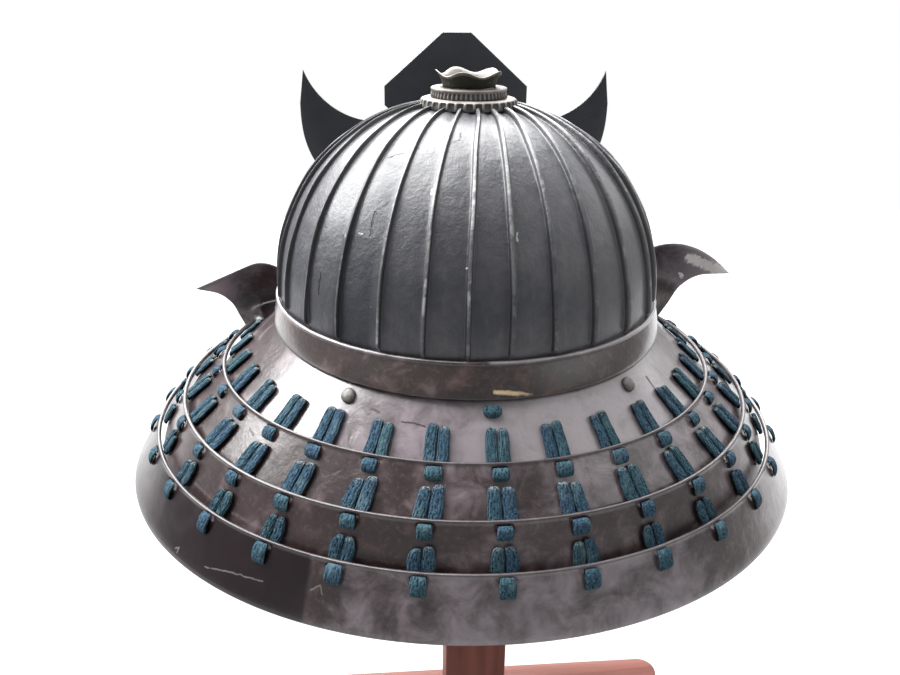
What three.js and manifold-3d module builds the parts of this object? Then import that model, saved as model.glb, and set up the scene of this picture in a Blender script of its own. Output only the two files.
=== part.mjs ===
// A kabuto: a ribbed iron bowl with a laced neck guard and a front crest, on a plain wooden stand.
//
// Millimetres, +Z up. The origin is on the underside of the stand's base board, below the bowl's axis.
// The helmet faces -Y.
// Round pieces are worked out in polar angle about the helmet's axis: 0 is the middle of the back
// (+Y), positive angles go towards -X, and 180 is the brow. Heights marked "brow" are measured
// from BROW, the top edge of the waist band.

import * as THREE from 'three';
import { mergeVertices } from 'three/addons/utils/BufferGeometryUtils.js';
import Module from 'manifold-3d';

const wasm = await Module();
wasm.setup();

const GAP = 0.3;                 // clearance between pieces that touch
const BROW = 360;                // height of the waist band's top edge above the floor
const RAD = Math.PI / 180;

// ---- driving sizes --------------------------------------------------------------------------

const BOWL = {
  halfWidth: 98.4, halfLength: 106, height: 98, foot: -3, power: 2.22, wall: 2,
  plates: 32, ribHeight: 1.6, ribHalf: 1.3, hole: 14,
  levels: [0, 4, 15, 29, 43, 57, 70], innerLevels: [0, 25, 50, 68],
};

// waist band: half width, half length to the back and to the front, height from the brow
const BAND = {
  top: { halfWidth: 101.0, back: 108.6, front: 108.6, z: 0 },
  lip: { halfWidth: 101.2, back: 109.0, front: 109.0, z: -1.6 },
  foot: { halfWidth: 102.6, back: 115.7, front: 110.5, z: -15 },
  groove: 0.6, grooveDown: 0.8, wall: 1.5, columns: 40,
};

// upper edges of the four lames, then the hem; rise is how much an edge climbs by the side
const EDGES = [
  { halfWidth: 99.8, back: 112.9, front: 107.7, z: -15.6, rise: 0 },
  { halfWidth: 130.0, back: 135.4, front: 133.0, z: -33.8, rise: -2 },
  { halfWidth: 151.5, back: 153.2, front: 153.0, z: -50.5, rise: -1 },
  { halfWidth: 166.4, back: 163.4, front: 166.0, z: -68.8, rise: 0 },
  { halfWidth: 181.5, back: 172.7, front: 180.0, z: -96.6, rise: 2 },
];
// ends: angle at which each lame stops, to either side of the back
const LAME = {
  wall: 2.0, room: 3.0, tuck: 10, tuckTurn: 10, rimLift: 0.8, rimDepth: 2.2, ends: [112, 112, 115, 115],
};

// turned-back wings of the first lame: inner edge, outer edge and how far the middle arches up
const WING_LEFT = [
  { inner: [103, -58, -30], outer: [131, -60, -38], arch: 0 },
  { inner: [106, -66, -26], outer: [136, -64, -31], arch: 0 },
  { inner: [105, -69, -14], outer: [143, -61, -24], arch: 0 },
  { inner: [114, -66, -4], outer: [154, -52, -18], arch: 0 },
];
const WING_RIGHT = [
  { inner: [-104, -58, -30], outer: [-137, -60, -34], arch: 1 },
  { inner: [-107, -66, -24], outer: [-145, -64, -25], arch: 4 },
  { inner: [-109, -69, -13], outer: [-155, -60, -17], arch: 8 },
  { inner: [-116, -66, -4], outer: [-170, -50, -13], arch: 12 },
];

// pitches: degrees from one column of lacing to the next, at the top of each lame
const LACE = {
  side: 9, pitches: [11.4, 11.55, 12.0, 12.35], turn: 0.3, lift: 0.5,
  pairStart: 11, firstStart: 13.5, firstGrowth: 1.2, pairEnd: 3.0, pairHalf: 5.1, pairThick: 2.2,
  underHalf: 4.0, underThick: 1.4, underStart: 1.4, loopHalf: 3.3, loopStart: 5.0, loopEnd: 8.8,
};
const WINDOW = { start: 1.5, end: 5.5, half: 4.4 };

const RIVET = { left: -33, right: 36, radius: 3.6, height: 2.2, down: 7 };
const KNOT = { half: 3.6, length: 6, thick: 2.2, down: 2.4 };

// crown ornament: three rings stacked on the bowl, heights from the brow
const CROWN = {
  hole: 12.5, petals: 24, columns: 30,
  collar: { bottom: 94.8, shoulder: 96.6, top: 98.2, outer: 24.6, upper: 20.6, flute: 0.7 },
  ring: { bottom: 98.5, neck: 101.6, top: 103.0, outer: 19.5, upper: 18.8, flange: 19.2 },
  cup: { bottom: 103.3, rim: 109.8, wave: 1.4, lobes: 5, turn: 17, foot: 13.0, waist: 13.4, mouth: 16.3,
    wall: 1.4 },
};

const VISOR = { reach: 30, drop: 9, wall: 2.0, top: -5, halfAngle: 46, steps: 16 };

const CREST = { shift: -6, y: -126, thick: 2.0 };
const SOCKET = { halfWidth: 9, depth: 5, top: 34 };
const CRESCENT = { centre: 80, half: 99, drop: 69, power: 2.6, tipX: 96.3, tipZ: 100.4,
  innerX: 50.9, innerZ: 117.5, innerRadius: 48.5 };
const PLATE = { centre: 84.5, half: 45.8, rise: 38.5, topHalf: 9, sideHalf: 6 };

const BASE = { width: 260, depth: 190, centreY: 18, thick: 18, corner: 14, bevel: 2 };
const POST = { x: -4, y: 47, width: 34, depth: 22 };
const CROSSBAR = { x: -4, top: -250, height: 24, depth: 20, length: 238 };
const HEAD = { bottom: 58, slack: 0.4 };

// ---- small tools ----------------------------------------------------------------------------

/** Radius at a polar angle of the oval whose front and back halves may differ in length. */
function ovalRadius(oval, angle) {
  const length = Math.cos(angle) >= 0 ? oval.back : oval.front;
  return 1 / Math.hypot(Math.sin(angle) / oval.halfWidth, Math.cos(angle) / length);
}

/** The point at a radius, a polar angle and a height measured from the brow. */
function polarPoint(radius, angle, z) {
  return new THREE.Vector3(-radius * Math.sin(angle), radius * Math.cos(angle), BROW + z);
}

/** Triangles between two rows of points that may differ in number; closed rows run on to their start. */
function bridge(out, a, b, closed) {
  const last = closed ? Math.max(a.length, b.length) : Math.max(a.length, b.length) - 1;
  const long = a.length >= b.length ? a : b;
  const place = (row, k) => {
    const span = closed ? row.length : row.length - 1;
    const longSpan = closed ? long.length : long.length - 1;
    return Math.round((k * span) / longSpan) % row.length;
  };
  for (let k = 0; k < last; k += 1) {
    const a0 = a[place(a, k)];
    const a1 = a[place(a, k + 1)];
    const b0 = b[place(b, k)];
    const b1 = b[place(b, k + 1)];
    if (a0 !== a1) out.push([a0, a1, b0]);
    if (b0 !== b1) out.push([a1, b1, b0]);
  }
}

/** A geometry from a list of triangles that close a body, turned so that its faces point out. */
function bodyOf(triangles) {
  let volume = 0;
  for (const [a, b, c] of triangles) volume += a.dot(b.clone().cross(c));
  const points = triangles.flatMap(([a, b, c]) => (volume > 0 ? [a, b, c] : [a, c, b]));
  const geometry = new THREE.BufferGeometry().setFromPoints(points);
  return mergeVertices(geometry, 1e-4);
}

/** A body that is open through the middle: closed rings joined in turn and back to the first. */
function ringBody(rings) {
  const out = [];
  rings.forEach((ring, i) => bridge(out, ring, rings[(i + 1) % rings.length], true));
  return bodyOf(out);
}

/** A wall between a face and a back, each a list of rows, closed at all four edges. */
function wallBody(face, back) {
  const out = [];
  const loops = face.map((row, i) => [...row, ...[...back[i]].reverse()]);
  for (let i = 0; i + 1 < loops.length; i += 1) bridge(out, loops[i], loops[i + 1], true);
  bridge(out, [...back[0]], [...face[0]], false);
  bridge(out, [...face.at(-1)], [...back.at(-1)], false);
  return bodyOf(out);
}

/** A solid bar through four-cornered sections, with flat ends. */
function barBody(sections) {
  const out = [];
  for (let i = 0; i + 1 < sections.length; i += 1) bridge(out, sections[i], sections[i + 1], true);
  const [first, last] = [sections[0], sections.at(-1)];
  out.push([first[0], first[2], first[1]], [first[0], first[3], first[2]]);
  out.push([last[0], last[1], last[2]], [last[0], last[2], last[3]]);
  return bodyOf(out);
}

/** An outline in X and Z, extruded along Y from y, as thick as given. */
function plateBody(outline, y, thick) {
  const geometry = new THREE.ExtrudeGeometry(outline,
    { depth: thick, bevelEnabled: false, curveSegments: 8 });
  geometry.rotateX(Math.PI / 2);
  geometry.translate(0, y + thick, BROW);
  return geometry;
}

/** The solid of a geometry, for cutting. */
function solidOf(geometry) {
  const bare = geometry.clone();
  bare.deleteAttribute('normal');
  bare.deleteAttribute('uv');
  const merged = mergeVertices(bare, 1e-4);
  const vertProperties = new Float32Array(merged.attributes.position.array);
  const triVerts = new Uint32Array(merged.index.array);
  return new wasm.Manifold(new wasm.Mesh({ numProp: 3, vertProperties, triVerts }));
}

/** A geometry with every cutter taken away from it. */
function cutAway(geometry, cutters) {
  let solid = solidOf(geometry);
  for (const cutter of cutters) solid = solid.subtract(solidOf(cutter));
  const mesh = solid.getMesh();
  const result = new THREE.BufferGeometry();
  result.setAttribute('position', new THREE.BufferAttribute(new Float32Array(mesh.vertProperties), 3));
  result.setIndex(new THREE.BufferAttribute(new Uint32Array(mesh.triVerts), 1));
  return result;
}

const group = new THREE.Group();

const FINISH = {
  iron: { color: 0x484a50, roughness: 0.42, metalness: 0.75 },
  lacquer: { color: 0x4b3a3a, roughness: 0.3, metalness: 0.1 },
  brass: { color: 0x8a7c62, roughness: 0.4, metalness: 0.85 },
  black: { color: 0x23262b, roughness: 0.45, metalness: 0.3 },
  silk: { color: 0x27505f, roughness: 0.9, metalness: 0 },
  wood: { color: 0xa5503a, roughness: 0.5, metalness: 0 },
};

function addPiece(name, geometry, finish) {
  const mesh = new THREE.Mesh(geometry, new THREE.MeshStandardMaterial(FINISH[finish]));
  mesh.name = name;
  group.add(mesh);
}

// ---- bowl -----------------------------------------------------------------------------------

/** Height and share of the foot's radius at a climb of 0 (foot) to 90 (crown), on a superellipse. */
function bowlLevel(climb, inset) {
  const exponent = 2 / BOWL.power;
  return {
    share: Math.cos(climb * RAD) ** exponent,
    z: BOWL.foot + (BOWL.height - inset) * Math.sin(climb * RAD) ** exponent,
  };
}

/** One ring of the bowl, inset from its outer face, with a rib of the given height at each plate's edge. */
function bowlRing(climb, inset, rib) {
  const level = bowlLevel(climb, inset);
  const length = BOWL.halfLength - inset;
  const oval = { halfWidth: BOWL.halfWidth - inset, back: length, front: length };
  const pitch = 360 / BOWL.plates;
  const ring = [];
  for (let plate = 0; plate < BOWL.plates; plate += 1) {
    const middle = (plate + 0.5) * pitch * RAD;
    const radius = ovalRadius(oval, middle) * level.share;
    const half = Math.min(BOWL.ribHalf / radius, 0.3 * pitch * RAD);
    const steps = rib === null ? [0] : [-half, 0, half];
    for (const step of steps) {
      const lift = step === 0 && rib ? rib : 0;
      const flat = ovalRadius(oval, middle + step) * level.share;
      const slope = Math.sin(climb * RAD);
      ring.push(polarPoint(flat + lift * (1 - slope * slope), middle + step, level.z + lift * slope));
    }
  }
  return ring;
}

/** Climb at which the bowl's outer face has closed in to the crown hole. */
function crownClimb(inset) {
  return Math.acos((BOWL.hole / (BOWL.halfWidth - inset)) ** (BOWL.power / 2)) / RAD;
}

function bowl() {
  const outer = BOWL.levels.map((climb, i) => bowlRing(climb, 0, i === 0 ? 0 : BOWL.ribHeight));
  outer.push(bowlRing(crownClimb(0) - 7, 0, BOWL.ribHeight));
  outer.push(bowlRing(crownClimb(0), 0, 0));
  const inner = BOWL.innerLevels.map((climb) => bowlRing(climb, BOWL.wall, null));
  inner.push(bowlRing(crownClimb(BOWL.wall), BOWL.wall, null));
  return ringBody([...outer, ...inner.reverse()]);
}

// ---- waist band -----------------------------------------------------------------------------

function ovalRing(oval, columns, inset) {
  const ring = [];
  for (let k = 0; k < columns; k += 1) {
    const angle = ((k + 0.5) * 2 * Math.PI) / columns;
    ring.push(polarPoint(ovalRadius(oval, angle) - inset, angle, oval.z));
  }
  return ring;
}

function waistBand() {
  const neck = { ...BAND.lip, z: BAND.lip.z - BAND.grooveDown };
  const ring = (oval, inset) => ovalRing(oval, BAND.columns, inset);
  return ringBody([ring(BAND.top, 0), ring(BAND.lip, 0), ring(neck, BAND.groove), ring(BAND.foot, 0),
    ring(BAND.foot, BAND.wall), ring(BAND.top, BAND.wall)]);
}

// ---- neck guard -----------------------------------------------------------------------------

/** A lame's upper edge, the line under the next rim, and the hidden lower edge, in the plane of an angle. */
function lameLines(index, angle) {
  const at = (edge) => new THREE.Vector2(ovalRadius(edge, angle), edge.z + edge.rise * (1 - Math.cos(angle)));
  const top = at(EDGES[index]);
  const next = at(EDGES[index + 1]);
  const fall = next.clone().sub(top).normalize();
  const lowest = index === EDGES.length - 2;
  const under = next.clone();
  if (!lowest) under.addScaledVector(new THREE.Vector2(-fall.y, fall.x), -(LAME.wall + LAME.room));
  const along = under.clone().sub(top);
  const length = along.length();
  along.divideScalar(length);
  const normal = new THREE.Vector2(-along.y, along.x);
  const turned = along.clone().rotateAround(new THREE.Vector2(), -LAME.tuckTurn * RAD);
  const tuck = lowest ? null : under.clone().addScaledVector(turned, LAME.tuck);
  return { top, under, tuck, along, normal, length };
}

/** The point on a lame at a distance below its upper edge and a lift off its face. */
function onLame(index, angle, distance, lift) {
  const { top, along, normal } = lameLines(index, angle);
  const spot = top.clone().addScaledVector(along, distance).addScaledVector(normal, lift);
  return polarPoint(spot.x, angle, spot.y);
}

/** Angle of a column of lacing at the top of a lame; a half column lies midway between two. */
function laceAngle(index, column) {
  return (column * LACE.pitches[index] + LACE.turn) * RAD;
}

/** The columns of lacing, counted from the middle of the back. */
function laceColumns() {
  return Array.from({ length: 2 * LACE.side + 1 }, (_, k) => k - LACE.side);
}

/** Angles of a lame's facets: a flat facet lies under every lace. */
function facetAngles(index) {
  const end = LAME.ends[index] * RAD;
  const sides = laceColumns().flatMap((column) => [column - 0.25, column + 0.25]);
  return [-end, ...sides.map((place) => laceAngle(index, place)), end];
}

/** Face and back rows of a lame at one angle. */
function lameRows(index, angle) {
  const { top, under, tuck, length, normal } = lameLines(index, angle);
  const low = tuck ?? under;
  const at = (spot, lift) => polarPoint(spot.x + normal.x * lift, angle, spot.y + normal.y * lift);
  const rim = index === 0 ? 0 : LAME.rimLift;
  const face = [at(top, rim), onLame(index, angle, LAME.rimDepth, 0), at(under, 0)];
  const back = [at(top, -LAME.wall), at(under, -LAME.wall)];
  if (tuck) {
    face.push(at(low, 0));
    back.push(at(low, -LAME.wall));
  } else {
    face.splice(2, 0, onLame(index, angle, length * 0.5, 0));
    back.splice(1, 0, onLame(index, angle, length * 0.5, -LAME.wall));
  }
  return { face, back };
}

/** The rows of a wing, set as those of the lame that it grows out of. */
function wingRows(wing, side) {
  const middles = wing.map(({ inner, outer, arch }) => {
    const a = new THREE.Vector3(...inner);
    const b = new THREE.Vector3(...outer);
    return [0, 0.1, 0.72, 1].map((v) => {
      const spot = a.clone().lerp(b, v);
      spot.z += BROW + arch * 4 * v * (1 - v);
      return spot;
    });
  });
  return middles.map((row, i) => {
    const before = middles[Math.max(i - 1, 0)];
    const after = middles[Math.min(i + 1, middles.length - 1)];
    const offset = (k) => {
      const across = row[Math.min(k + 1, 3)].clone().sub(row[Math.max(k - 1, 0)]);
      const onward = after[k].clone().sub(before[k]);
      return across.cross(onward).normalize().multiplyScalar((side * LAME.wall) / 2);
    };
    const face = row.map((spot, k) => spot.clone().add(offset(k)));
    const back = [0, 2, 3].map((k) => row[k].clone().sub(offset(k)));
    return { face, back };
  });
}

/** A box that cuts the window through which a lace comes out below a lame's rim. */
function windowCutter(index, angle) {
  const section = (distance) => [[-1, -1], [1, -1], [1, 1], [-1, 1]].map(([across, up]) => {
    const spot = onLame(index, angle, distance, up > 0 ? 2 : -LAME.wall - 1);
    const sideways = new THREE.Vector3(-Math.cos(angle), -Math.sin(angle), 0);
    return spot.addScaledVector(sideways, across * WINDOW.half);
  });
  return barBody([section(WINDOW.start), section(WINDOW.end)]);
}

function neckLame(index) {
  const rows = facetAngles(index).map((angle) => lameRows(index, angle));
  if (index === 0) {
    rows.unshift(...wingRows(WING_LEFT, 1).reverse());
    rows.push(...wingRows(WING_RIGHT, -1));
    return wallBody(rows.map((row) => row.face), rows.map((row) => row.back));
  }
  const plain = wallBody(rows.map((row) => row.face), rows.map((row) => row.back));
  return cutAway(plain, laceColumns().map((column) => windowCutter(index, laceAngle(index, column))));
}

// ---- lacing ---------------------------------------------------------------------------------

/** A lace's cross section: its underside at a lift off a lame's face, square to the axis plane. */
function laceSection(index, angle, distance, lift, thick, half) {
  const sideways = new THREE.Vector3(-Math.cos(angle), -Math.sin(angle), 0);
  const low = onLame(index, angle, distance, lift);
  const high = onLame(index, angle, distance, lift + thick);
  const corner = (spot, across) => spot.clone().addScaledVector(sideways, across * half);
  return [corner(low, -1), corner(low, 1), corner(high, 1), corner(high, -1)];
}

/** Where a pair starts below a lame's edge: farther down where the first lame is wider, towards its ends. */
function pairStart(index, column) {
  if (index > 0) return LACE.pairStart;
  const wider = lameLines(0, laceAngle(0, column)).length - lameLines(0, 0).length;
  return LACE.firstStart + LACE.firstGrowth * wider;
}

/** One column: over a lame as a flat pair, behind the next rim, out of its window as a short loop. */
function lace(column) {
  const { lift, pairThick, pairHalf, loopHalf } = LACE;
  const behind = -LAME.wall - LAME.room + lift;
  const top = pairStart(0, column) - 1;
  const sections = [laceSection(0, laceAngle(0, column), top, lift, pairThick - 1, pairHalf - 1)];
  for (let index = 0; index < 3; index += 1) {
    const start = pairStart(index, column);
    const angle = laceAngle(index, column);
    const below = laceAngle(index + 1, column);
    const end = lameLines(index, below).length - LACE.pairEnd;
    sections.push(
      laceSection(index, angle, start, lift, pairThick, pairHalf),
      laceSection(index, below, end, lift, pairThick, pairHalf),
      laceSection(index + 1, below, LACE.underStart, behind, LACE.underThick, LACE.underHalf),
      laceSection(index + 1, below, LACE.loopStart, lift, pairThick, loopHalf),
      laceSection(index + 1, below, LACE.loopEnd, lift, pairThick, loopHalf),
    );
  }
  return barBody(sections);
}

// ---- small trim on the first lame -------------------------------------------------------------

/** A dome rivet whose foot rests on the first lame. */
function rivet(angle) {
  const { normal } = lameLines(0, angle);
  const { radius, height } = RIVET;
  const profile = [[0, 0], [radius, 0], [radius * 0.78, height * 0.7], [0, height]];
  const dome = new THREE.LatheGeometry(profile.map(([x, y]) => new THREE.Vector2(x, y)), 10);
  const out = new THREE.Vector3(-normal.x * Math.sin(angle), normal.x * Math.cos(angle), normal.y);
  dome.applyQuaternion(new THREE.Quaternion().setFromUnitVectors(new THREE.Vector3(0, 1, 0), out));
  dome.translate(...onLame(0, angle, RIVET.down, 2 * GAP));
  return dome;
}

function backKnot() {
  const at = (distance, lift, thick, half) => laceSection(0, 0, distance, lift, thick, half);
  return barBody([
    at(KNOT.down, LACE.lift, 0.8, KNOT.half * 0.7),
    at(KNOT.down + 1.5, LACE.lift, KNOT.thick, KNOT.half),
    at(KNOT.down + KNOT.length - 1.5, LACE.lift, KNOT.thick, KNOT.half),
    at(KNOT.down + KNOT.length, LACE.lift, 0.8, KNOT.half * 0.7),
  ]);
}

// ---- crown ornament -------------------------------------------------------------------------

function circleRing(columns, radiusAt, zAt) {
  const ring = [];
  for (let k = 0; k < columns; k += 1) {
    const angle = (k * 2 * Math.PI) / columns;
    ring.push(polarPoint(radiusAt(angle, k), angle, zAt(angle, k)));
  }
  return ring;
}

function crownCollar() {
  const { bottom, shoulder, top, outer, upper, flute } = CROWN.collar;
  const columns = CROWN.petals * 2;
  const ring = (radius, z, depth) => circleRing(columns, (angle, k) => radius - (k % 2) * depth, () => z);
  const hole = (z) => circleRing(CROWN.petals, () => CROWN.hole, () => z);
  return ringBody([
    ring(outer, bottom, flute), ring(outer - 0.4, shoulder, flute), ring(upper, top, flute / 2),
    hole(top), hole(bottom),
  ]);
}

function crownRing() {
  const { bottom, neck, top, outer, upper, flange } = CROWN.ring;
  const ring = (radius, z) => circleRing(CROWN.columns, () => radius, () => z);
  return ringBody([ring(outer, bottom), ring(upper, neck), ring(flange, neck + 0.3), ring(flange - 0.4, top),
    ring(CROWN.hole, top), ring(CROWN.hole, bottom)]);
}

/** The flared cup: its rim waves up and down and bulges outwards in five lobes. */
function crownCup() {
  const { bottom, rim, wave, lobes, turn, foot, waist, mouth, wall } = CROWN.cup;
  const lobe = (angle) => Math.cos(lobes * (angle + turn * RAD));
  const ring = (radius, z, share) => circleRing(CROWN.columns,
    (angle) => radius + share * 0.8 * lobe(angle), (angle) => z + share * wave * lobe(angle));
  return ringBody([
    ring(foot, bottom, 0), ring(waist, bottom + 2, 0), ring(mouth, rim, 1),
    ring(mouth - wall, rim + 0.3, 1), ring(waist - wall, bottom + 2, 0), ring(foot - wall, bottom, 0),
  ]);
}

// ---- visor and crest ------------------------------------------------------------------------

/** Height of the visor's upper face at a share of its reach. */
function visorHeight(share) {
  return VISOR.top - VISOR.drop * share ** 1.4;
}

/** Radius at which the visor begins, just clear of the waist band at the height of its underside. */
function visorRoot(angle) {
  const share = (BAND.lip.z - VISOR.top + VISOR.wall) / (BAND.lip.z - BAND.foot.z);
  return THREE.MathUtils.lerp(ovalRadius(BAND.lip, angle), ovalRadius(BAND.foot, angle), share) + GAP;
}

/** A brim that is longest at the brow and runs out towards the temples. */
function visor() {
  const rows = [];
  for (let k = 0; k <= VISOR.steps; k += 1) {
    const turn = -1 + (2 * k) / VISOR.steps;
    const angle = Math.PI + turn * VISOR.halfAngle * RAD;
    const reach = 4 + (VISOR.reach - 4) * Math.sqrt(1 - 0.98 * turn * turn);
    const root = visorRoot(angle);
    rows.push([0, 0.5, 1].map((share) => (
      { radius: root + reach * share, angle, z: visorHeight((share * reach) / VISOR.reach) })));
  }
  const at = (fall) => ({ radius, angle, z }) => polarPoint(radius, angle, z - fall);
  const sheet = (fall) => rows.map((row) => row.map(at(fall)));
  return wallBody(sheet(0), sheet(VISOR.wall));
}

/** A plain bracket that stands on the visor and holds the crest's foot. */
function crestSocket() {
  const near = CREST.y + CREST.thick + GAP;
  const root = -visorRoot(Math.PI);
  const onVisor = (y) => visorHeight((root - y) / VISOR.reach) + GAP;
  const far = near + SOCKET.depth;
  const side = [[near, onVisor(near)], [far, onVisor(far)], [far, SOCKET.top], [near, SOCKET.top]];
  const section = (x) => side.map(([y, z]) => new THREE.Vector3(x, y, BROW + z));
  return barBody([section(CREST.shift - SOCKET.halfWidth), section(CREST.shift + SOCKET.halfWidth)]);
}

/** The crescent: a superellipse below, and above it a level edge with an arc up to each tip. */
function crestCrescent() {
  const { centre, half, drop, power, tipX, tipZ, innerX, innerZ, innerRadius } = CRESCENT;
  const outline = new THREE.Shape();
  const lower = (x) => centre - drop * (1 - (Math.abs(x) / half) ** power) ** (1 / power);
  const xs = [0.998, 0.985, 0.95, 0.88, 0.76, 0.6, 0.4, 0.2].map((share) => share * half);
  outline.moveTo(CREST.shift - tipX, tipZ);
  outline.lineTo(CREST.shift - half, centre);
  for (const x of xs) outline.lineTo(CREST.shift - x, lower(x));
  outline.lineTo(CREST.shift, lower(0));
  for (const x of xs.reverse()) outline.lineTo(CREST.shift + x, lower(x));
  outline.lineTo(CREST.shift + half, centre);
  outline.lineTo(CREST.shift + tipX, tipZ);
  const tipAngle = Math.atan2(tipZ - innerZ, tipX - innerX);
  outline.absarc(CREST.shift + innerX, innerZ, innerRadius, tipAngle, -Math.PI / 2, true);
  outline.absarc(CREST.shift - innerX, innerZ, innerRadius, -Math.PI / 2, Math.PI - tipAngle, true);
  return plateBody(outline, CREST.y, CREST.thick);
}

/** The diamond plate in front of the crescent, its four corners clipped. */
function crestPlate() {
  const { centre, half, rise, topHalf, sideHalf } = PLATE;
  const corners = [[topHalf, rise], [half, sideHalf], [half, -sideHalf], [topHalf, -rise],
    [-topHalf, -rise], [-half, -sideHalf], [-half, sideHalf], [-topHalf, rise]];
  const outline = new THREE.Shape(corners.map(([x, z]) => new THREE.Vector2(CREST.shift + x, centre + z)));
  return plateBody(outline, CREST.y - GAP - CREST.thick, CREST.thick);
}

// ---- stand ----------------------------------------------------------------------------------

function standBase() {
  const { width, depth, centreY, thick, corner, bevel } = BASE;
  const [x, y] = [width / 2 - bevel, depth / 2 - bevel];
  const outline = new THREE.Shape();
  outline.moveTo(-x + corner, -y);
  outline.absarc(x - corner, -y + corner, corner, -Math.PI / 2, 0);
  outline.absarc(x - corner, y - corner, corner, 0, Math.PI / 2);
  outline.absarc(-x + corner, y - corner, corner, Math.PI / 2, Math.PI);
  outline.absarc(-x + corner, -y + corner, corner, Math.PI, 1.5 * Math.PI);
  const board = new THREE.ExtrudeGeometry(outline, { depth: thick - 2 * bevel, bevelThickness: bevel,
    bevelSize: bevel, bevelSegments: 1, curveSegments: 3 });
  board.translate(0, centreY, bevel);
  return board;
}

function standPost() {
  const bottom = BASE.thick + GAP;
  const top = BROW + HEAD.bottom - GAP;
  const post = new THREE.BoxGeometry(POST.width, POST.depth, top - bottom);
  post.translate(POST.x, POST.y, (top + bottom) / 2);
  return post;
}

/** The crossbar lies against the post's front and has round ends. */
function standCrossbar() {
  const { x, top, height, depth, length } = CROSSBAR;
  const [half, round] = [length / 2 - depth / 2, depth / 2];
  const outline = new THREE.Shape();
  outline.absarc(x + half, 0, round, -Math.PI / 2, Math.PI / 2);
  outline.absarc(x - half, 0, round, Math.PI / 2, 1.5 * Math.PI);
  const bar = new THREE.ExtrudeGeometry(outline, { depth: height, bevelEnabled: false, curveSegments: 6 });
  bar.translate(0, POST.y - POST.depth / 2 - GAP - depth / 2, BROW + top - height);
  return bar;
}

/** A block whose top follows the inside of the bowl's crown, which rests on it. */
function standHead() {
  const inset = BOWL.wall + HEAD.slack;
  const climbs = [...BOWL.innerLevels.slice(-2), crownClimb(BOWL.wall)];
  const rings = climbs.map((climb) => bowlRing(climb, inset, null));
  rings.unshift(rings[0].map((spot) => new THREE.Vector3(spot.x, spot.y, BROW + HEAD.bottom)));
  const out = [];
  for (let i = 0; i + 1 < rings.length; i += 1) bridge(out, rings[i], rings[i + 1], true);
  const foot = new THREE.Vector3(0, 0, BROW + HEAD.bottom);
  const crown = new THREE.Vector3(0, 0, rings.at(-1)[0].z);
  rings[0].forEach((spot, k) => out.push([rings[0][(k + 1) % BOWL.plates], spot, foot]));
  rings.at(-1).forEach((spot, k) => out.push([spot, rings.at(-1)[(k + 1) % BOWL.plates], crown]));
  return bodyOf(out);
}

// ---- assembly -------------------------------------------------------------------------------

addPiece('bowl', bowl(), 'iron');
addPiece('waist_band', waistBand(), 'lacquer');
addPiece('crown_collar', crownCollar(), 'brass');
addPiece('crown_ring', crownRing(), 'brass');
addPiece('crown_cup', crownCup(), 'brass');
addPiece('visor', visor(), 'black');
addPiece('crest_socket', crestSocket(), 'black');
addPiece('crest_crescent', crestCrescent(), 'black');
addPiece('crest_plate', crestPlate(), 'black');
for (let index = 0; index < 4; index += 1) addPiece(`neck_lame_${index + 1}`, neckLame(index), 'lacquer');
addPiece('lame_rivet_left', rivet(RIVET.left * RAD), 'iron');
addPiece('lame_rivet_right', rivet(RIVET.right * RAD), 'iron');
addPiece('back_knot', backKnot(), 'silk');
laceColumns().forEach((column, k) => {
  addPiece(`lace_${String(k + 1).padStart(2, '0')}`, lace(column), 'silk');
});
addPiece('stand_base', standBase(), 'wood');
addPiece('stand_post', standPost(), 'wood');
addPiece('stand_crossbar', standCrossbar(), 'wood');
addPiece('stand_head', standHead(), 'wood');

export default group;
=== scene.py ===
"""A kabuto: a ribbed iron bowl with a laced neck guard, crown ornament and crest, on a plain wooden stand.

Metres, +Z up. The helmet faces -Y. Round pieces are worked out in polar angle about the helmet's
axis: 0 is the middle of the back (+Y), positive angles go towards -X, and pi is the brow.
"""

import math

import bpy
import numpy as np
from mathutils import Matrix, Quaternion, Vector


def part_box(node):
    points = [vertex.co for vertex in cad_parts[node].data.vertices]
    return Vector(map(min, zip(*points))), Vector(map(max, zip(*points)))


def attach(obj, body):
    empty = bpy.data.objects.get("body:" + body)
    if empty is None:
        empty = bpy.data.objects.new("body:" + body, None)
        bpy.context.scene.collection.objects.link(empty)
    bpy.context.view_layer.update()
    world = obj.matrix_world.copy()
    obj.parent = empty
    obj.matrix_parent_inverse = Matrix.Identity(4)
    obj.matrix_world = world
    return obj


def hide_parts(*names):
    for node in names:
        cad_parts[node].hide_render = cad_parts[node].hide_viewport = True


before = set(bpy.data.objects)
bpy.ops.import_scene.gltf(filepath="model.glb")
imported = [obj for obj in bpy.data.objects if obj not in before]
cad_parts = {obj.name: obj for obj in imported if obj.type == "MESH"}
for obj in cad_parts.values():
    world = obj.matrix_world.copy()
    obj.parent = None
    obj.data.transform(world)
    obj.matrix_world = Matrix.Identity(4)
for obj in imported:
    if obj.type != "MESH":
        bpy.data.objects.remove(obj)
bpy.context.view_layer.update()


# ---- camera, floor and light ---------------------------------------------
# The camera stands behind the helmet and looks down on it a little. The room is white beyond the
# helmet and dim on the camera's side.

CAMERA_PLACE = Vector((0.0509, 0.4522, 0.5096))
CAMERA_AIM = Vector((0.0077, -0.0009, 0.3280))
CAMERA_ROLL = math.radians(0.8)
CAMERA_LENS = 35.2


def placed(name, data):
    """A new object in the scene, at the origin."""
    thing = bpy.data.objects.new(name, data)
    bpy.context.scene.collection.objects.link(thing)
    return thing


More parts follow.
